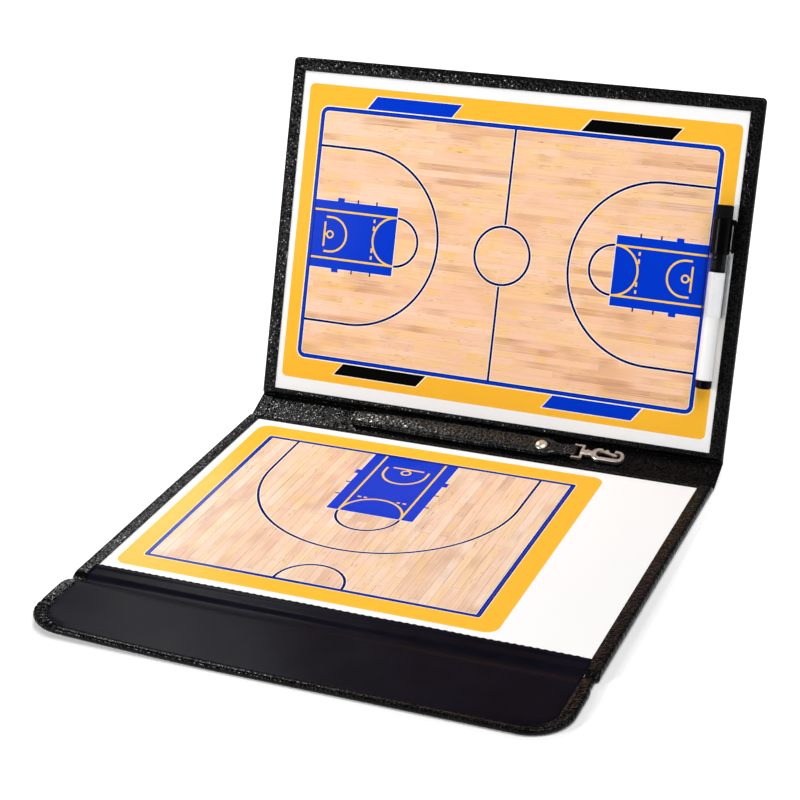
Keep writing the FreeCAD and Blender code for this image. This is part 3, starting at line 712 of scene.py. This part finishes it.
def flapTop(x, y):
    d, depth = flapEdgeDistance(x, y), liningDepth(x, y)
    hem = 1 - rise(depth / flap["hemSpan"] + 0.5)
    hemWave, hemSize = flap["hemWaves"]
    liningWave, liningSize, seed = flap["liningWaves"]
    level = mix(between(y, borderSteps), between(y, borderHemSteps), hem)
    level += hem * hemWave * ripple(x, y, hemSize) + (1 - hem) * liningWave * ripple(x, y, liningSize, seed)
    level += flapPleats(x, y) * (1 - rise((d - flap["gatherIn"]) / flap["gatherIn"]))
    level -= flap["groove"] * ridge(depth, flap["groovePlace"], flap["grooveWidth"])
    level += flap["roll"] * below(y, *flap["rollFrom"]) * ridge(d, flap["rollPlace"], flap["rollWidth"])
    if abs(x) < folder["window"]:
        level += lapEdge(y, folder["front"], -1)
    return flapLift(x, y) + upperFace(level, d, flap["edgeRound"])


def flapBottom(x, y):
    return flapLift(x, y) + lowerFace(between(y, borderHemSteps), flapEdgeDistance(x, y), flap["edgeRound"])


flapStrip = {
    "half": flapHalf, "top": flapTop, "bottom": flapBottom, "lined": lambda x, y: liningDepth(x, y) > 0,
    "wear": lambda x, y: 1 - rise(flapEdgeDistance(x, y) / flap["edgeWear"]), "inner": [], "count": 52,
    "offsets": edgeOffsets[:6] + [2.8, 3.6, 4.4, 5.2, 6.0, 6.8, 7.6, 8.3, 8.8, 9.2, 9.8, 10.8, 12.0, 13.5,
                                  15.0, 17.0, 19.0, 21.5],
}
flapRootRows = [folder["front"] - d for d in lapOffsets] + evenRows(folder["front"] - 1.0, rootMiddle, 0.9)
flapTipRows = evenRows(rootMiddle, -148.5, 1.1) + evenRows(-149.0, -167.8, 0.7)
flapTipRows += [flap["edge"] + d for d in (2.6, 2.2, 1.8, 1.3, 0.9, 0.6, 0.35, 0.18, 0.06, 0.0)]
flapRoot = leatherStrip("flapRootHalf", flapRootRows, {**flapStrip, "caps": ["first"]})
flapTip = leatherStrip("flapTipHalf", flapTipRows, {**flapStrip, "caps": []})
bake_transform(flapRoot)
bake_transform(flapTip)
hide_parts("base_front_lining", "flap_root_leather", "flap_root_lining")
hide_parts("flap_outer_leather", "flap_lining")

# The card that keeps the flap's tip straight, bent with it and covered by the leather
stiffener = {"inset": 2.6, "low": 1.0, "high": 2.2, "cover": 0.3, "count": 40, "start": 1.8, "step": 1.5}


def flapCard():
    inset, count = stiffener["inset"], stiffener["count"]
    corner, edge = flap["corner"] - inset, flap["edge"] + inset
    points = []
    for y in evenRows(tipAxis.y - stiffener["start"], edge, stiffener["step"]):
        half = flap["half"] - inset - cornerCut(corner, edge + corner - y)
        xs = evenRows(-half, half, 2 * half / count)
        points += [(x, y, flapLift(x, y) + stiffener["low"]) for x in xs]
        points += [(x, y, min(flapLift(x, y) + stiffener["high"], flapTop(x, y) - stiffener["cover"]))
                   for x in reversed(xs)]
    ring = 2 * (count + 1)
    faces = ringFaces(len(points) // ring, ring) + endFaces(ring, len(points))
    return makePiece("flapCard", points, faces, boardMaterial("flapBoard", tint(170, 164, 152)))


card = flapCard()
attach(card, "flap_tip")
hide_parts("flap_stiffener")
print("flap is sewn")

# Rows of stitches: each is a short bowed thread that dips in at both ends, in rings of (place, width, height)
stitch = {
    "length": 3.0, "gap": 1.3, "radius": 0.32, "sides": 6, "waver": 0.12, "waverSeed": 1.7, "waverSize": 1.3,
    "rings": [(0.0, 0.3, -0.5), (0.14, 0.8, 0.05), (0.5, 1.0, 0.35), (0.86, 0.8, 0.05), (1.0, 0.3, -0.5)],
}


def alongPath(path, distance):
    for (x0, y0), (x1, y1) in zip(path, path[1:]):
        step = math.hypot(x1 - x0, y1 - y0)
        if distance <= step:
            return mix(x0, x1, distance / step), mix(y0, y1, distance / step)
        distance -= step
    return path[-1]


def stitchRow(name, path, top, body):
    length = sum(math.hypot(b[0] - a[0], b[1] - a[1]) for a, b in zip(path, path[1:]))
    pitch = stitch["length"] + stitch["gap"]
    radius, sides, rings = stitch["radius"], stitch["sides"], stitch["rings"]
    points, faces = [], []
    for k in range(int(length / pitch)):
        waver = stitch["waver"] * ripple(k, stitch["waverSeed"], stitch["waverSize"])
        start = (k + 0.5) * pitch - stitch["length"] / 2 + waver
        x0, y0 = alongPath(path, start)
        x1, y1 = alongPath(path, start + stitch["length"])
        first = len(points)
        aside = Vector((y0 - y1, x1 - x0, 0)).normalized()
        for t, width, height in rings:
            x, y = mix(x0, x1, t), mix(y0, y1, t)
            z = top(x, y) + height * radius
            for i in range(sides):
                a = 2 * math.pi * i / sides
                offset = aside * math.cos(a) * radius * width
                points.append((x + offset.x, y + offset.y, z + math.sin(a) * radius * width))
        own = ringFaces(len(rings), sides) + endFaces(sides, len(rings) * sides)
        faces += [tuple(first + i for i in face) for face in own]
    piece = makePiece(name, points, faces, thread)
    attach(piece, body)


# Where the seams run, and where a seam is sunk because something slides over it or lies on it
seam = {
    "sideIn": 2.4, "edgeIn": 2.6, "flapIn": 4.4, "lapIn": 0.5, "lapHalf": 144.0, "coverStart": 141.0,
    "baseStart": -97.0, "baseEnd": 106.0, "flapStart": -146.0, "cornerSteps": 14,
    "markerSink": 0.35, "markerSide": 118, "markerEnd": 335, "markerSpan": 4,
    "curlSink": 0.3, "curlFrom": (-100, 30),
}
sideSeam, edgeSeam = folder["half"] - seam["sideIn"], folder["coverEdge"] - seam["edgeIn"]


def coverSeam(x, y):        # the stitches lie deeper where the marker slides out over them
    top = coverHemTop(x, y) if y > folder["coverHigh"] else panelTop(x, y)
    span = seam["markerSpan"]
    under = rise((x - seam["markerSide"]) / span) * rise((y - seam["markerEnd"]) / span)
    return top - seam["markerSink"] * under


def flapSeam(x, y):        # sunk into the curled end, which lies on the cover when the board is closed
    return flapTop(x, y) - seam["curlSink"] * below(x, *seam["curlFrom"])


def lapPath(y):
    return [(-seam["lapHalf"], y), (seam["lapHalf"], y)]


def bothSides(path):        # a path and its mirror image, from one end to the other
    return path + [(-x, y) for x, y in reversed(path)]


coverPath = bothSides([(-sideSeam, seam["coverStart"]), (-sideSeam, edgeSeam)])
stitchRow("coverHemStitches", coverPath, coverSeam, "cover")
stitchRow("coverLapStitches", lapPath(folder["coverLow"] - seam["lapIn"]), panelTop, "cover")
stitchRow("baseLapStitches", lapPath(folder["rear"] + seam["lapIn"]), panelTop, "base")
stitchRow("baseFrontStitches", lapPath(folder["front"] - seam["lapIn"]), flapTop, "base")
for side, x in (("Left", -sideSeam), ("Right", sideSeam)):
    stitchRow("baseSideStitches" + side, [(x, seam["baseStart"]), (x, seam["baseEnd"])], panelTop, "base")
flapCorner = arcPoints(flap["half"] - flap["corner"], cornerStart, flap["corner"] - seam["flapIn"], 0, -90,
                       seam["cornerSteps"])
flapPath = bothSides([(flap["half"] - seam["flapIn"], seam["flapStart"])] + flapCorner)
stitchRow("flapEdgeStitches", flapPath, flapSeam, "flap_tip")
print("seams are stitched")


# Printed sheets: each ink is a patch of one flat mesh, and later outlines lie on top
def rectangle(x0, y0, x1, y1):
    return [(x0, y0), (x1, y0), (x1, y1), (x0, y1)]


def mirrored(x0, y0, x1, y1):        # a rectangle on each side of a court's middle line
    return [rectangle(x0, -y1, x1, -y0), rectangle(x0, y0, x1, y1)]


def roundedRectangle(x0, y0, x1, y1, radius, steps=8):
    outline = []
    for cx, cy, start in ((x1 - radius, y0 + radius, -90), (x1 - radius, y1 - radius, 0),
                          (x0 + radius, y1 - radius, 90), (x0 + radius, y0 + radius, 180)):
        outline += arcPoints(cx, cy, radius, start, start + 90, steps)
    return outline


def arcBand(cx, cy, radius, width, start, end, steps=40):
    outer = arcPoints(cx, cy, radius + width / 2, start, end, steps)
    return outer + arcPoints(cx, cy, radius - width / 2, start, end, steps)[::-1]


def circleBand(cx, cy, radius, width):        # a ring as two half rings
    return [arcBand(cx, cy, radius, width, start, start + 180, 36) for start in (0, 180)]


inkTones = {        # each ink's colour, and how much darker its clouds are
    "film": (tint(250, 250, 250), 0.02), "surround": (tint(255, 190, 56), 0.06),
    "blue": (tint(4, 56, 206), 0.1), "line": (tint(8, 14, 98), 0.1), "pale": (tint(254, 246, 232), 0.02),
    "black": (tint(8, 8, 9), 0.1), "lane": (tint(255, 206, 72), 0.06),
}
coverWood = {
    "upright": False, "length": 52.0, "width": 4.1, "mixed": 0.6, "streak": 0.4, "seam": 0.3,
    "seamWidth": 0.07, "crack": 0.75, "golden": 0.5, "hearty": 0.75,
    "dark": tint(220, 166, 126), "light": tint(253, 219, 192),
    "gold": tint(248, 199, 115), "heart": tint(202, 146, 112), "fleck": tint(128, 88, 66),
    "tones": [(0.1, tint(253, 213, 186)), (0.95, tint(225, 173, 135)), (0.35, tint(250, 205, 151)),
              (0.55, tint(251, 205, 175)), (0.75, tint(243, 193, 151))],
}
baseWood = {
    "upright": True, "length": 130.0, "width": 5.6, "mixed": 0.65, "streak": 0.6, "seam": 0.75,
    "seamWidth": 0.13, "crack": 1.0, "golden": 0.35, "hearty": 0.6,
    "dark": tint(204, 160, 131), "light": tint(249, 225, 206),
    "gold": tint(245, 205, 140), "heart": tint(198, 154, 128), "fleck": tint(96, 68, 54),
    "tones": [(0.1, tint(247, 219, 199)), (0.95, tint(215, 173, 145)), (0.35, tint(243, 206, 168)),
              (0.55, tint(246, 210, 187)), (0.75, tint(233, 192, 163))],
}


def inkSet(sheet, wood, shine):
    made = {ink: printMaterial(sheet + ink.capitalize() + "Ink", tone, depth, shine)
            for ink, (tone, depth) in inkTones.items()}
    made["wood"] = woodPrintMaterial(sheet + "WoodInk", wood, shine)
    return made


coverInks = inkSet("cover", coverWood, 0.005)
baseInks = inkSet("base", baseWood, 0.05)        # this film lies at a flatter angle and shows more sheen
inkNames = list(coverInks)
edging, halo = 0.42, 0.7        # pale rims of the lines and of the frames
wideTick, tickUnder, ringShare = 2, 0.2, 0.85        # wide ticks are blue, and all start under the key


# A line in ink over a slightly wider pale one
def inked(outlinesAt, width, ink):
    return [(o, "pale") for o in outlinesAt(width + 2 * edging)] + [(o, ink) for o in outlinesAt(width)]


# One half of a court, with its baseline at x = 0 and its middle line on y = 0
def halfCourt(size):
    key, lane, line, mark = size["key"], size["lane"], size["line"], size["mark"]
    free, deep, radius = size["freeThrow"], size["arcCentre"], size["arc"]
    regions = inked(lambda w: mirrored(0, radius - w / 2, deep, radius + w / 2)
                    + [arcBand(deep, 0, radius, w, -90, 90, 72)], line, "line")
    regions += inked(lambda w: [arcBand(free, 0, lane, w, -90, 90)], line, "line")
    regions.append((rectangle(0, -key - edging, free + edging, key + edging), "pale"))
    for start, end in size["ticks"]:
        ink = "blue" if end - start > wideTick else "line"
        regions += [(o, ink) for o in mirrored(start, key - tickUnder, end, key + size["tickReach"])]
    regions.append((rectangle(0, -key, free, key), "blue"))
    lanes = mirrored(0, lane - mark / 2, free, lane + mark / 2)
    for start, end in size["dashes"]:
        lanes += mirrored(free - lane - mark / 2, start, free - lane + mark / 2, end)
    lanes.append(arcBand(free, 0, lane, mark, 90, 270))
    arc, centre = size["restricted"], size["restrictedCentre"]
    lanes.append(arcBand(centre, 0, arc, mark, -90, 90))
    lanes += mirrored(size["restrictedStart"], arc - mark / 2, centre, arc + mark / 2)
    board, half = size["board"], size["boardHalf"]
    lanes.append(rectangle(board - mark / 2, -half, board + mark / 2, half))
    lanes.append(rectangle(board, -mark / 2, size["hoop"] - size["ring"], mark / 2))
    lanes += circleBand(size["hoop"], 0, size["ring"], ringShare * mark)
    return regions + [(o, "lane") for o in lanes]


def moved(regions, turns):
    made = []
    for outline, ink in regions:
        outline = [turns(x, y) for x, y in outline]
        area = sum(a[0] * b[1] - b[0] * a[1] for a, b in zip(outline, outline[1:] + outline[:1]))
        made.append((outline if area > 0 else outline[::-1], ink))
    return made


sheetSize = {"half": 148.5, "length": 210.0, "thickness": 0.5, "underLap": 2.5}


def printedSheet(name, regions, near, node, body, inks):
    half, top, bottom = sheetSize["half"], folder["sheetTop"], folder["sheetTop"] - sheetSize["thickness"]
    sheet = rectangle(-half, near, half, near + sheetSize["length"])
    layers = [(sheet, "film")] + regions
    flat, outlines = [], []
    for outline, ink in layers:
        outlines.append(list(range(len(flat), len(flat) + len(outline))))
        flat += [Vector(p) for p in outline]
    corners, _, patches, _, _, owners = geometry.delaunay_2d_cdt(flat, [], outlines, 1, 1e-4)
    points = [(c.x, c.y, top) for c in corners]
    faces = [tuple(p) for p in patches]
    shades = [inkNames.index(layers[max(owner)][1]) for owner in owners]
    under = len(points)
    points += [(x, y, z) for z in (top, bottom) for x, y in sheet]
    for i in range(4):
        j = (i + 1) % 4
        faces.append((under + i, under + j, under + 4 + j, under + 4 + i))
    faces.append((under + 7, under + 6, under + 5, under + 4))
    piece = makePiece(name, points, faces, inks["film"])
    for ink in inkNames[1:]:
        piece.data.materials.append(inks[ink])
    for face, shade in zip(piece.data.polygons, shades):
        face.material_index = shade
        face.use_smooth = False
    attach(piece, body)
    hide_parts(node)


# Full court on the cover
fullCourt = {
    "middle": (0.3, 102.6), "turn": -0.22, "surround": (141.1, 94.7, 3.5), "frame": (131.6, 80.8, 5.2),
    "frameLine": 2.6, "keyline": 0.55, "line": 1.5, "circle": 18.1,
    "tabRim": 0.5, "tabLow": 1.0, "tabSunk": 0.6,        # then each tab's left, right, lean, height and ink
    "tabs": ((-101.5, -44.3, 7.4, 9.6, "blue"), (40.3, 97.3, 7.4, 8.8, "black")),
}
coverHalfCourt = {
    "key": 21.6, "lane": 15.3, "line": 1.5, "freeThrow": 56.9, "arcCentre": 29.8, "arc": 55.9, "mark": 1.25,
    "tickReach": 2.2, "ticks": ((15.1, 19.7), (28.6, 29.6), (41.5, 42.5)),
    "dashes": ((5.6, 8.4), (10.6, 12.7)), "hoop": 11.8, "ring": 2.1, "restricted": 11.0,
    "restrictedCentre": 12.1, "restrictedStart": 8.4, "board": 7.9, "boardHalf": 7.8,
}
across, up, corner = fullCourt["surround"]
frameX, frameY, frameCorner = fullCourt["frame"]
inset, keyline, radius = fullCourt["frameLine"], fullCourt["keyline"], fullCourt["circle"]
regions = [(roundedRectangle(-across, -up, across, up, corner), "surround")]
for side in (-1, 1):
    for left, right, lean, height, ink in fullCourt["tabs"]:
        for grow, shade in ((fullCourt["tabRim"], "pale"), (0.0, ink)):
            low, high = frameY - fullCourt["tabLow"], frameY - fullCourt["tabSunk"] + height + grow
            outline = [(left - 2 * grow, low), (right + grow, low), (right + lean + 2 * grow, high),
                       (left + lean - grow, high)]
            regions.append(([(side * x, side * y) for x, y in outline], shade))
for grow, shade in ((halo, "pale"), (0.0, "line"), (-keyline, "blue"), (keyline - inset, "line"),
                    (-inset, "pale"), (-inset - edging, "wood")):
    x, y = frameX + grow, frameY + grow
    regions.append((roundedRectangle(-x, -y, x, y, frameCorner + grow), shade))
innerX, innerY = frameX - inset, frameY - inset
for side in (-1, 1):
    regions += moved(halfCourt(coverHalfCourt), lambda x, y: (side * (x - innerX), y))
regions += inked(lambda w: mirrored(-w / 2, radius, w / 2, innerY), fullCourt["line"], "line")
regions += inked(lambda w: circleBand(0, 0, radius, w), fullCourt["line"], "line")
sway = math.radians(fullCourt["turn"])
middleX, middleY = fullCourt["middle"]


def onCoverSheet(x, y):
    return (middleX + x * math.cos(sway) - y * math.sin(sway),
            folder["coverLow"] + middleY + x * math.sin(sway) + y * math.cos(sway))


printedSheet("fullCourtSheet", moved(regions, onCoverSheet), folder["coverLow"] - sheetSize["underLap"],
             "cover_court_sheet", "cover", coverInks)

# Half court on the base, with its baseline at the spine
halfCourtPrint = {
    "surround": (-139.4, -198.6, 90.0, -6.8, 7.5), "frame": (-126.9, -185.4, 76.3, -20.2, 1.6),
    "sideLine": 2.9, "endLine": 2.5, "keyline": 0.9, "middle": -25.8, "circle": 20.5,
}
baseHalfCourt = {
    "key": 27.5, "lane": 19.5, "line": 1.65, "freeThrow": 74.8, "arcCentre": 39.3, "arc": 80.2, "mark": 1.4,
    "tickReach": 2.7, "ticks": ((22.4, 27.4), (38.9, 40.0), (54.9, 56.0)),
    "dashes": ((9.6, 11.6), (13.3, 15.6)), "hoop": 17.6, "ring": 2.7, "restricted": 13.6,
    "restrictedCentre": 18.8, "restrictedStart": 13.4, "board": 12.9, "boardHalf": 10.0,
}
regions = [(roundedRectangle(*halfCourtPrint["surround"]), "surround")]
left, low, right, high, corner = halfCourtPrint["frame"]
sideLine, endLine, keyline = halfCourtPrint["sideLine"], halfCourtPrint["endLine"], halfCourtPrint["keyline"]
for grow, shade in ((edging, "pale"), (0.0, "line"), (-keyline, "blue")):
    regions.append((roundedRectangle(left - grow, low - grow, right + grow, high + grow, corner), shade))
for grow, shade in ((keyline, "line"), (0.0, "pale"), (-edging, "wood")):
    sides, ends = sideLine - grow, endLine - grow
    regions.append((rectangle(left + sides, low + ends, right - sides, high - ends), shade))
middle, radius = halfCourtPrint["middle"], halfCourtPrint["circle"]
regions += moved(halfCourt(baseHalfCourt), lambda x, y: (middle + y, high - endLine - x))
regions += inked(lambda w: [arcBand(middle, low + endLine, radius, w, 0, 180, 48)],
                 baseHalfCourt["line"], "line")
printedSheet("halfCourtSheet", moved(regions, lambda x, y: (x, folder["rear"] + y)),
             folder["rear"] + sheetSize["underLap"] - sheetSize["length"],
             "base_court_sheet", "base", baseInks)
print("courts are printed")

# Wrist strap: two plies sewn together, folded round the clasp's eye bar and sewn down at the left end
strap = {
    "hinge": joints["strap_lift"]["pos_m"][0] / mm, "eye": joints["clasp_turn"]["pos_m"][0] / mm,
    "sewn": 16.1, "middle": 3.9, "half": 6.4, "endHalf": 5.4, "endCorner": 1.5, "widening": 70,
    "swell": 0.18, "swellSize": 14.0, "tongueHalf": 4.0, "taperFromEye": 17.1, "taper": 6.0,
    "ply": 1.55, "tonguePly": 1.0, "plyGap": 0.12, "crown": 0.56, "edgeWear": 0.08, "step": 2.2,
    "loop": 1.32, "loopReach": 7, "loopSteps": 12, "seamDrop": 0.3, "dropReach": 3, "rivetFromEye": 21.0,
    "stitchIn": 1.1, "stitchEnd": 1.3, "stitchGap": 3.0, "stitchFromRivet": 5.0,
    "shape": [(-1.0, 0.0), (-0.985, 0.35), (-0.94, 0.5), (-0.5, 0.56), (0.0, 0.58), (0.5, 0.56), (0.94, 0.5),
              (0.985, 0.35), (1.0, 0.0), (0.985, -0.35), (0.94, -0.5), (0.0, -0.5), (-0.94, -0.5),
              (-0.985, -0.35)],        # the ply's section, in half widths and thicknesses
}
strapLeft = strap["hinge"] - strap["sewn"]
rivetPlace = strap["eye"] - strap["rivetFromEye"]


def tongueShare(x):        # 0 along the strap, 1 in the narrow tongue at the clasp
    return rise((x - strap["eye"] + strap["taperFromEye"]) / strap["taper"])


def strapPly(x):
    return mix(strap["ply"], strap["tonguePly"], tongueShare(x))


def strapHalf(x):
    swell = strap["swell"] * ripple(x, 2.0, strap["swellSize"], 5.0)
    wide = mix(strap["endHalf"], strap["half"], rise((x - strapLeft) / strap["widening"]))
    rounded = cornerCut(strap["endCorner"], strap["endCorner"] - (x - strapLeft))
    return mix(wide, strap["tongueHalf"], tongueShare(x)) + swell - rounded


def strapLevel(x, side):        # the middle height of the upper or the lower ply
    plain = strap["plyGap"] + strapPly(x) / 2
    apart = mix(plain, strap["loop"], rise((x - strap["eye"] + strap["loopReach"]) / strap["loopReach"]))
    reach = strap["dropReach"]
    drop = strap["seamDrop"] * (1 - rise((x - strap["hinge"] + reach) / (2 * reach)))
    return strap["middle"] + side * apart - drop


def strapFace(x, y):        # the upper ply's outer face
    return strapLevel(x, 1) + strap["crown"] * strapPly(x)


def strapPath():        # (x, height, thickness, direction of the ply's face) along the whole band
    stops = evenRows(strapLeft, strap["eye"], strap["step"])
    lower = [(x, strapLevel(x, -1), strapPly(x), (0.0, -1.0)) for x in stops]
    loop = []
    for out in arcPoints(0, 0, 1, -90, 90, strap["loopSteps"])[1:-1]:
        x, height = strap["eye"] + strap["loop"] * out[0], strap["middle"] + strap["loop"] * out[1]
        loop.append((x, height, strap["tonguePly"], out))
    upper = [(x, strapLevel(x, 1), strapPly(x), (0.0, 1.0)) for x in reversed(stops)]
    return lower + loop + upper


def strapBand():
    points, wear = [], []
    path, shape = strapPath(), strap["shape"]
    for x, height, ply, (outX, outZ) in path:
        half = strapHalf(x)
        for across, out in shape:
            lift = out * ply
            points.append((x + outX * lift, spineMiddle + across * half, height + outZ * lift))
            wear.append(1 - rise((1 - abs(across)) / strap["edgeWear"]))
    faces = ringFaces(len(path), len(shape)) + endFaces(len(shape), len(points))
    return makePiece("strapBand", points, faces, strapLeather, wear)


band = strapBand()
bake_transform(band)
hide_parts("wrist_strap", "strap_anchor")

sewnHalf, gap = strap["endHalf"] - strap["stitchIn"], strap["stitchGap"]
front, back = spineMiddle - sewnHalf, spineMiddle + sewnHalf
sewnStart, sewnEnd = strapLeft + strap["stitchEnd"], strap["hinge"] - gap
sewnPath = [(sewnEnd, front), (sewnStart, front), (sewnStart, back), (sewnEnd, back)]
stitchRow("strapEndStitches", sewnPath, strapFace, "spine")
for side, y in (("Front", front), ("Back", back)):
    sidePath = [(strap["hinge"] + gap, y), (rivetPlace - strap["stitchFromRivet"], y)]
    stitchRow("strapStitches" + side, sidePath, strapFace, "strap")

# Lathed cap of the strap's rivet, as (radius, height) rings
rivet = {
    "sides": 28, "sunk": 0.05,
    "profile": [(0.02, 1.35), (1.2, 1.3), (2.3, 1.1), (3.1, 0.78), (3.6, 0.4), (3.8, 0.15), (3.75, -0.1),
                (3.4, -0.3)],
}


def rivetCap():
    points = []
    base = strapFace(rivetPlace, 0) - rivet["sunk"]
    for radius, height in rivet["profile"]:
        ring = arcPoints(rivetPlace, spineMiddle, radius, 0, 360, rivet["sides"])[:-1]
        points += [(x, y, base + height) for x, y in ring]
    faces = ringFaces(len(rivet["profile"]), rivet["sides"]) + endFaces(rivet["sides"], len(points))[:1]
    return makePiece("rivetCap", points, faces, metalMaterial("rivetMetal", tint(226, 214, 200), 0.3))


cap = rivetCap()
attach(cap, "strap")
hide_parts("strap_rivet")
print("strap is sewn on")


# Pieces kept from the frame, each with its own material
def dress(material, *names):
    for name in names:
        nodes[name].data.materials.clear()
        nodes[name].data.materials.append(material)


dress(metalMaterial("claspMetal", tint(232, 226, 218), 0.28), "clasp_body", "clasp_gate", "clasp_gate_pin")
dress(metalMaterial("sheetSteel", tint(176, 178, 180), 0.3), "base_steel_sheet", "cover_steel_sheet",
      "flap_magnets")
dress(boardMaterial("greyBoard", tint(170, 164, 152)), "base_core_board", "cover_core_board")
dress(plasticMaterial("barrelPlastic", tint(252, 252, 252), 0.25, 0.35), "marker_barrel")
dress(plasticMaterial("capPlastic", tint(2, 2, 3), 0.2, 0.06), "marker_cap", "marker_neck", "marker_end_plug")
dress(feltMaterial("eraserFelt", tint(5, 5, 6)), "marker_eraser", "marker_nib", "marker_ink_reservoir")
dress(sleeveMaterial("sleeveFilm", sleeveLook), "marker_sleeve")
dress(boardMaterial("foamPad", tint(236, 236, 236)), "sleeve_adhesive_pad")
print("marker and clasp are dressed")

# Stage, light and camera
studio = {
    "ambient": 0.12, "floor": (0.9, 0.9, 0.9, 1), "floorRough": 0.8, "level": -0.0004, "sides": 64,
    "rings": [(0.5, 0), (1.0, 0), (3.0, 0), (6.0, 0), (7.0, 0.1), (7.6, 0.35), (8.0, 0.8), (8.1, 1.2)],
    "glowMiddle": (0.08, -0.22, 0.0), "nearGlow": 0.14, "midGlow": 0.6, "farGlow": 1.0, "nearReach": 0.18,
    "midReach": 0.45, "farReach": 1.2, "aim": (0, 0, 0.05),
    "lamps": {        # three close on the left, whose glints die out to the right, and a broad one
        "leftFront": {"place": (-0.57, -0.70, 0.40), "size": 0.16, "power": 4.4},
        "leftTop": {"place": (-0.31, 0.264, 0.40), "size": 0.075, "power": 0.85},
        "leftBack": {"place": (-0.57, 0.68, 0.41), "size": 0.18, "power": 0.5},
        "rightFill": {"place": (0.5, -0.35, 1.4), "size": 1.2, "power": 16.2},
    },
}


# A floor that turns up far away and glows where the camera, metal or film sees it: painted light that is
# faint around glowMiddle, in front of the board, so the shadows there stay, and grows to full white further
# out, where it washes out the board's cast shadows
def studioFloor():
    level, sides = studio["level"], studio["sides"]
    points = [(0, 0, level)]
    for radius, height in studio["rings"]:
        points += [(x, y, level + height) for x, y in arcPoints(0, 0, radius, 0, 360, sides)[:-1]]
    faces = [(0, 1 + i, 1 + (i + 1) % sides) for i in range(sides)]
    faces += [tuple(1 + i for i in reversed(face)) for face in ringFaces(len(studio["rings"]), sides)]
    mesh = bpy.data.meshes.new("studioFloor")
    mesh.from_pydata(points, [], faces)
    mesh.shade_smooth()
    floor = bpy.data.objects.new("studioFloor", mesh)
    bpy.context.scene.collection.objects.link(floor)
    recipe = Recipe("studioFloor")
    path = recipe.node("LightPath").outputs
    seen = recipe.maths("MAXIMUM", path["Is Camera Ray"], path["Is Glossy Ray"])
    seen = recipe.maths("MAXIMUM", seen, path["Is Transmission Ray"])
    away = recipe.vector("DISTANCE", recipe.inSpace(), studio["glowMiddle"])["Value"]
    near = recipe.span(away, studio["nearReach"], studio["midReach"], studio["nearGlow"], studio["midGlow"])
    further = studio["farGlow"] - studio["midGlow"]
    far = recipe.span(away, studio["midReach"], studio["farReach"], 0.0, further)
    recipe.set(Base_Color=studio["floor"], Roughness=studio["floorRough"], Specular_IOR_Level=0.0)
    recipe.set(Emission_Color=(1, 1, 1, 1), Emission_Strength=recipe.times(seen, recipe.plus(near, far)))
    mesh.materials.append(recipe.material)


def softLight(name, look):
    light = bpy.data.lights.new(name, "AREA")
    light.shape = "DISK"
    light.size = look["size"]
    light.energy = look["power"]
    lamp = bpy.data.objects.new(name, light)
    lamp.location = look["place"]
    lamp.rotation_euler = (Vector(studio["aim"]) - lamp.location).to_track_quat("-Z", "Y").to_euler()
    bpy.context.scene.collection.objects.link(lamp)


def studioWorld():
    world = bpy.data.worlds.new("studioWorld")
    bpy.context.scene.world = world
    world.use_nodes = True
    light = world.node_tree.nodes["Background"]
    light.inputs["Color"].default_value = (1, 1, 1, 1)
    light.inputs["Strength"].default_value = studio["ambient"]


# The photograph's view: where the camera stands and which way its own axes point
view = {
    "place": (0.41833, -0.97745, 0.57300),
    "right": (0.92342, 0.38302, -0.02432), "up": (-0.1393, 0.3935, 0.9087),
    "focalPixels": 2088.6, "imagePixels": 800, "sensor": 36.0,
}


def photoCamera():
    camera = bpy.data.cameras.new("photoCamera")
    camera.sensor_width = view["sensor"]
    camera.lens = view["focalPixels"] / view["imagePixels"] * view["sensor"]
    rig = bpy.data.objects.new("photoCamera", camera)
    right = Vector(view["right"]).normalized()
    back = right.cross(Vector(view["up"])).normalized()
    up = back.cross(right)
    turn = Matrix((right, up, back)).transposed().to_4x4()
    rig.matrix_world = Matrix.Translation(view["place"]) @ turn
    bpy.context.scene.collection.objects.link(rig)
    bpy.context.scene.camera = rig


studioFloor()
for lamp, look in studio["lamps"].items():
    softLight(lamp + "Lamp", look)
studioWorld()
photoCamera()
bpy.context.scene.view_settings.view_transform = "Standard"
print("stage is set")
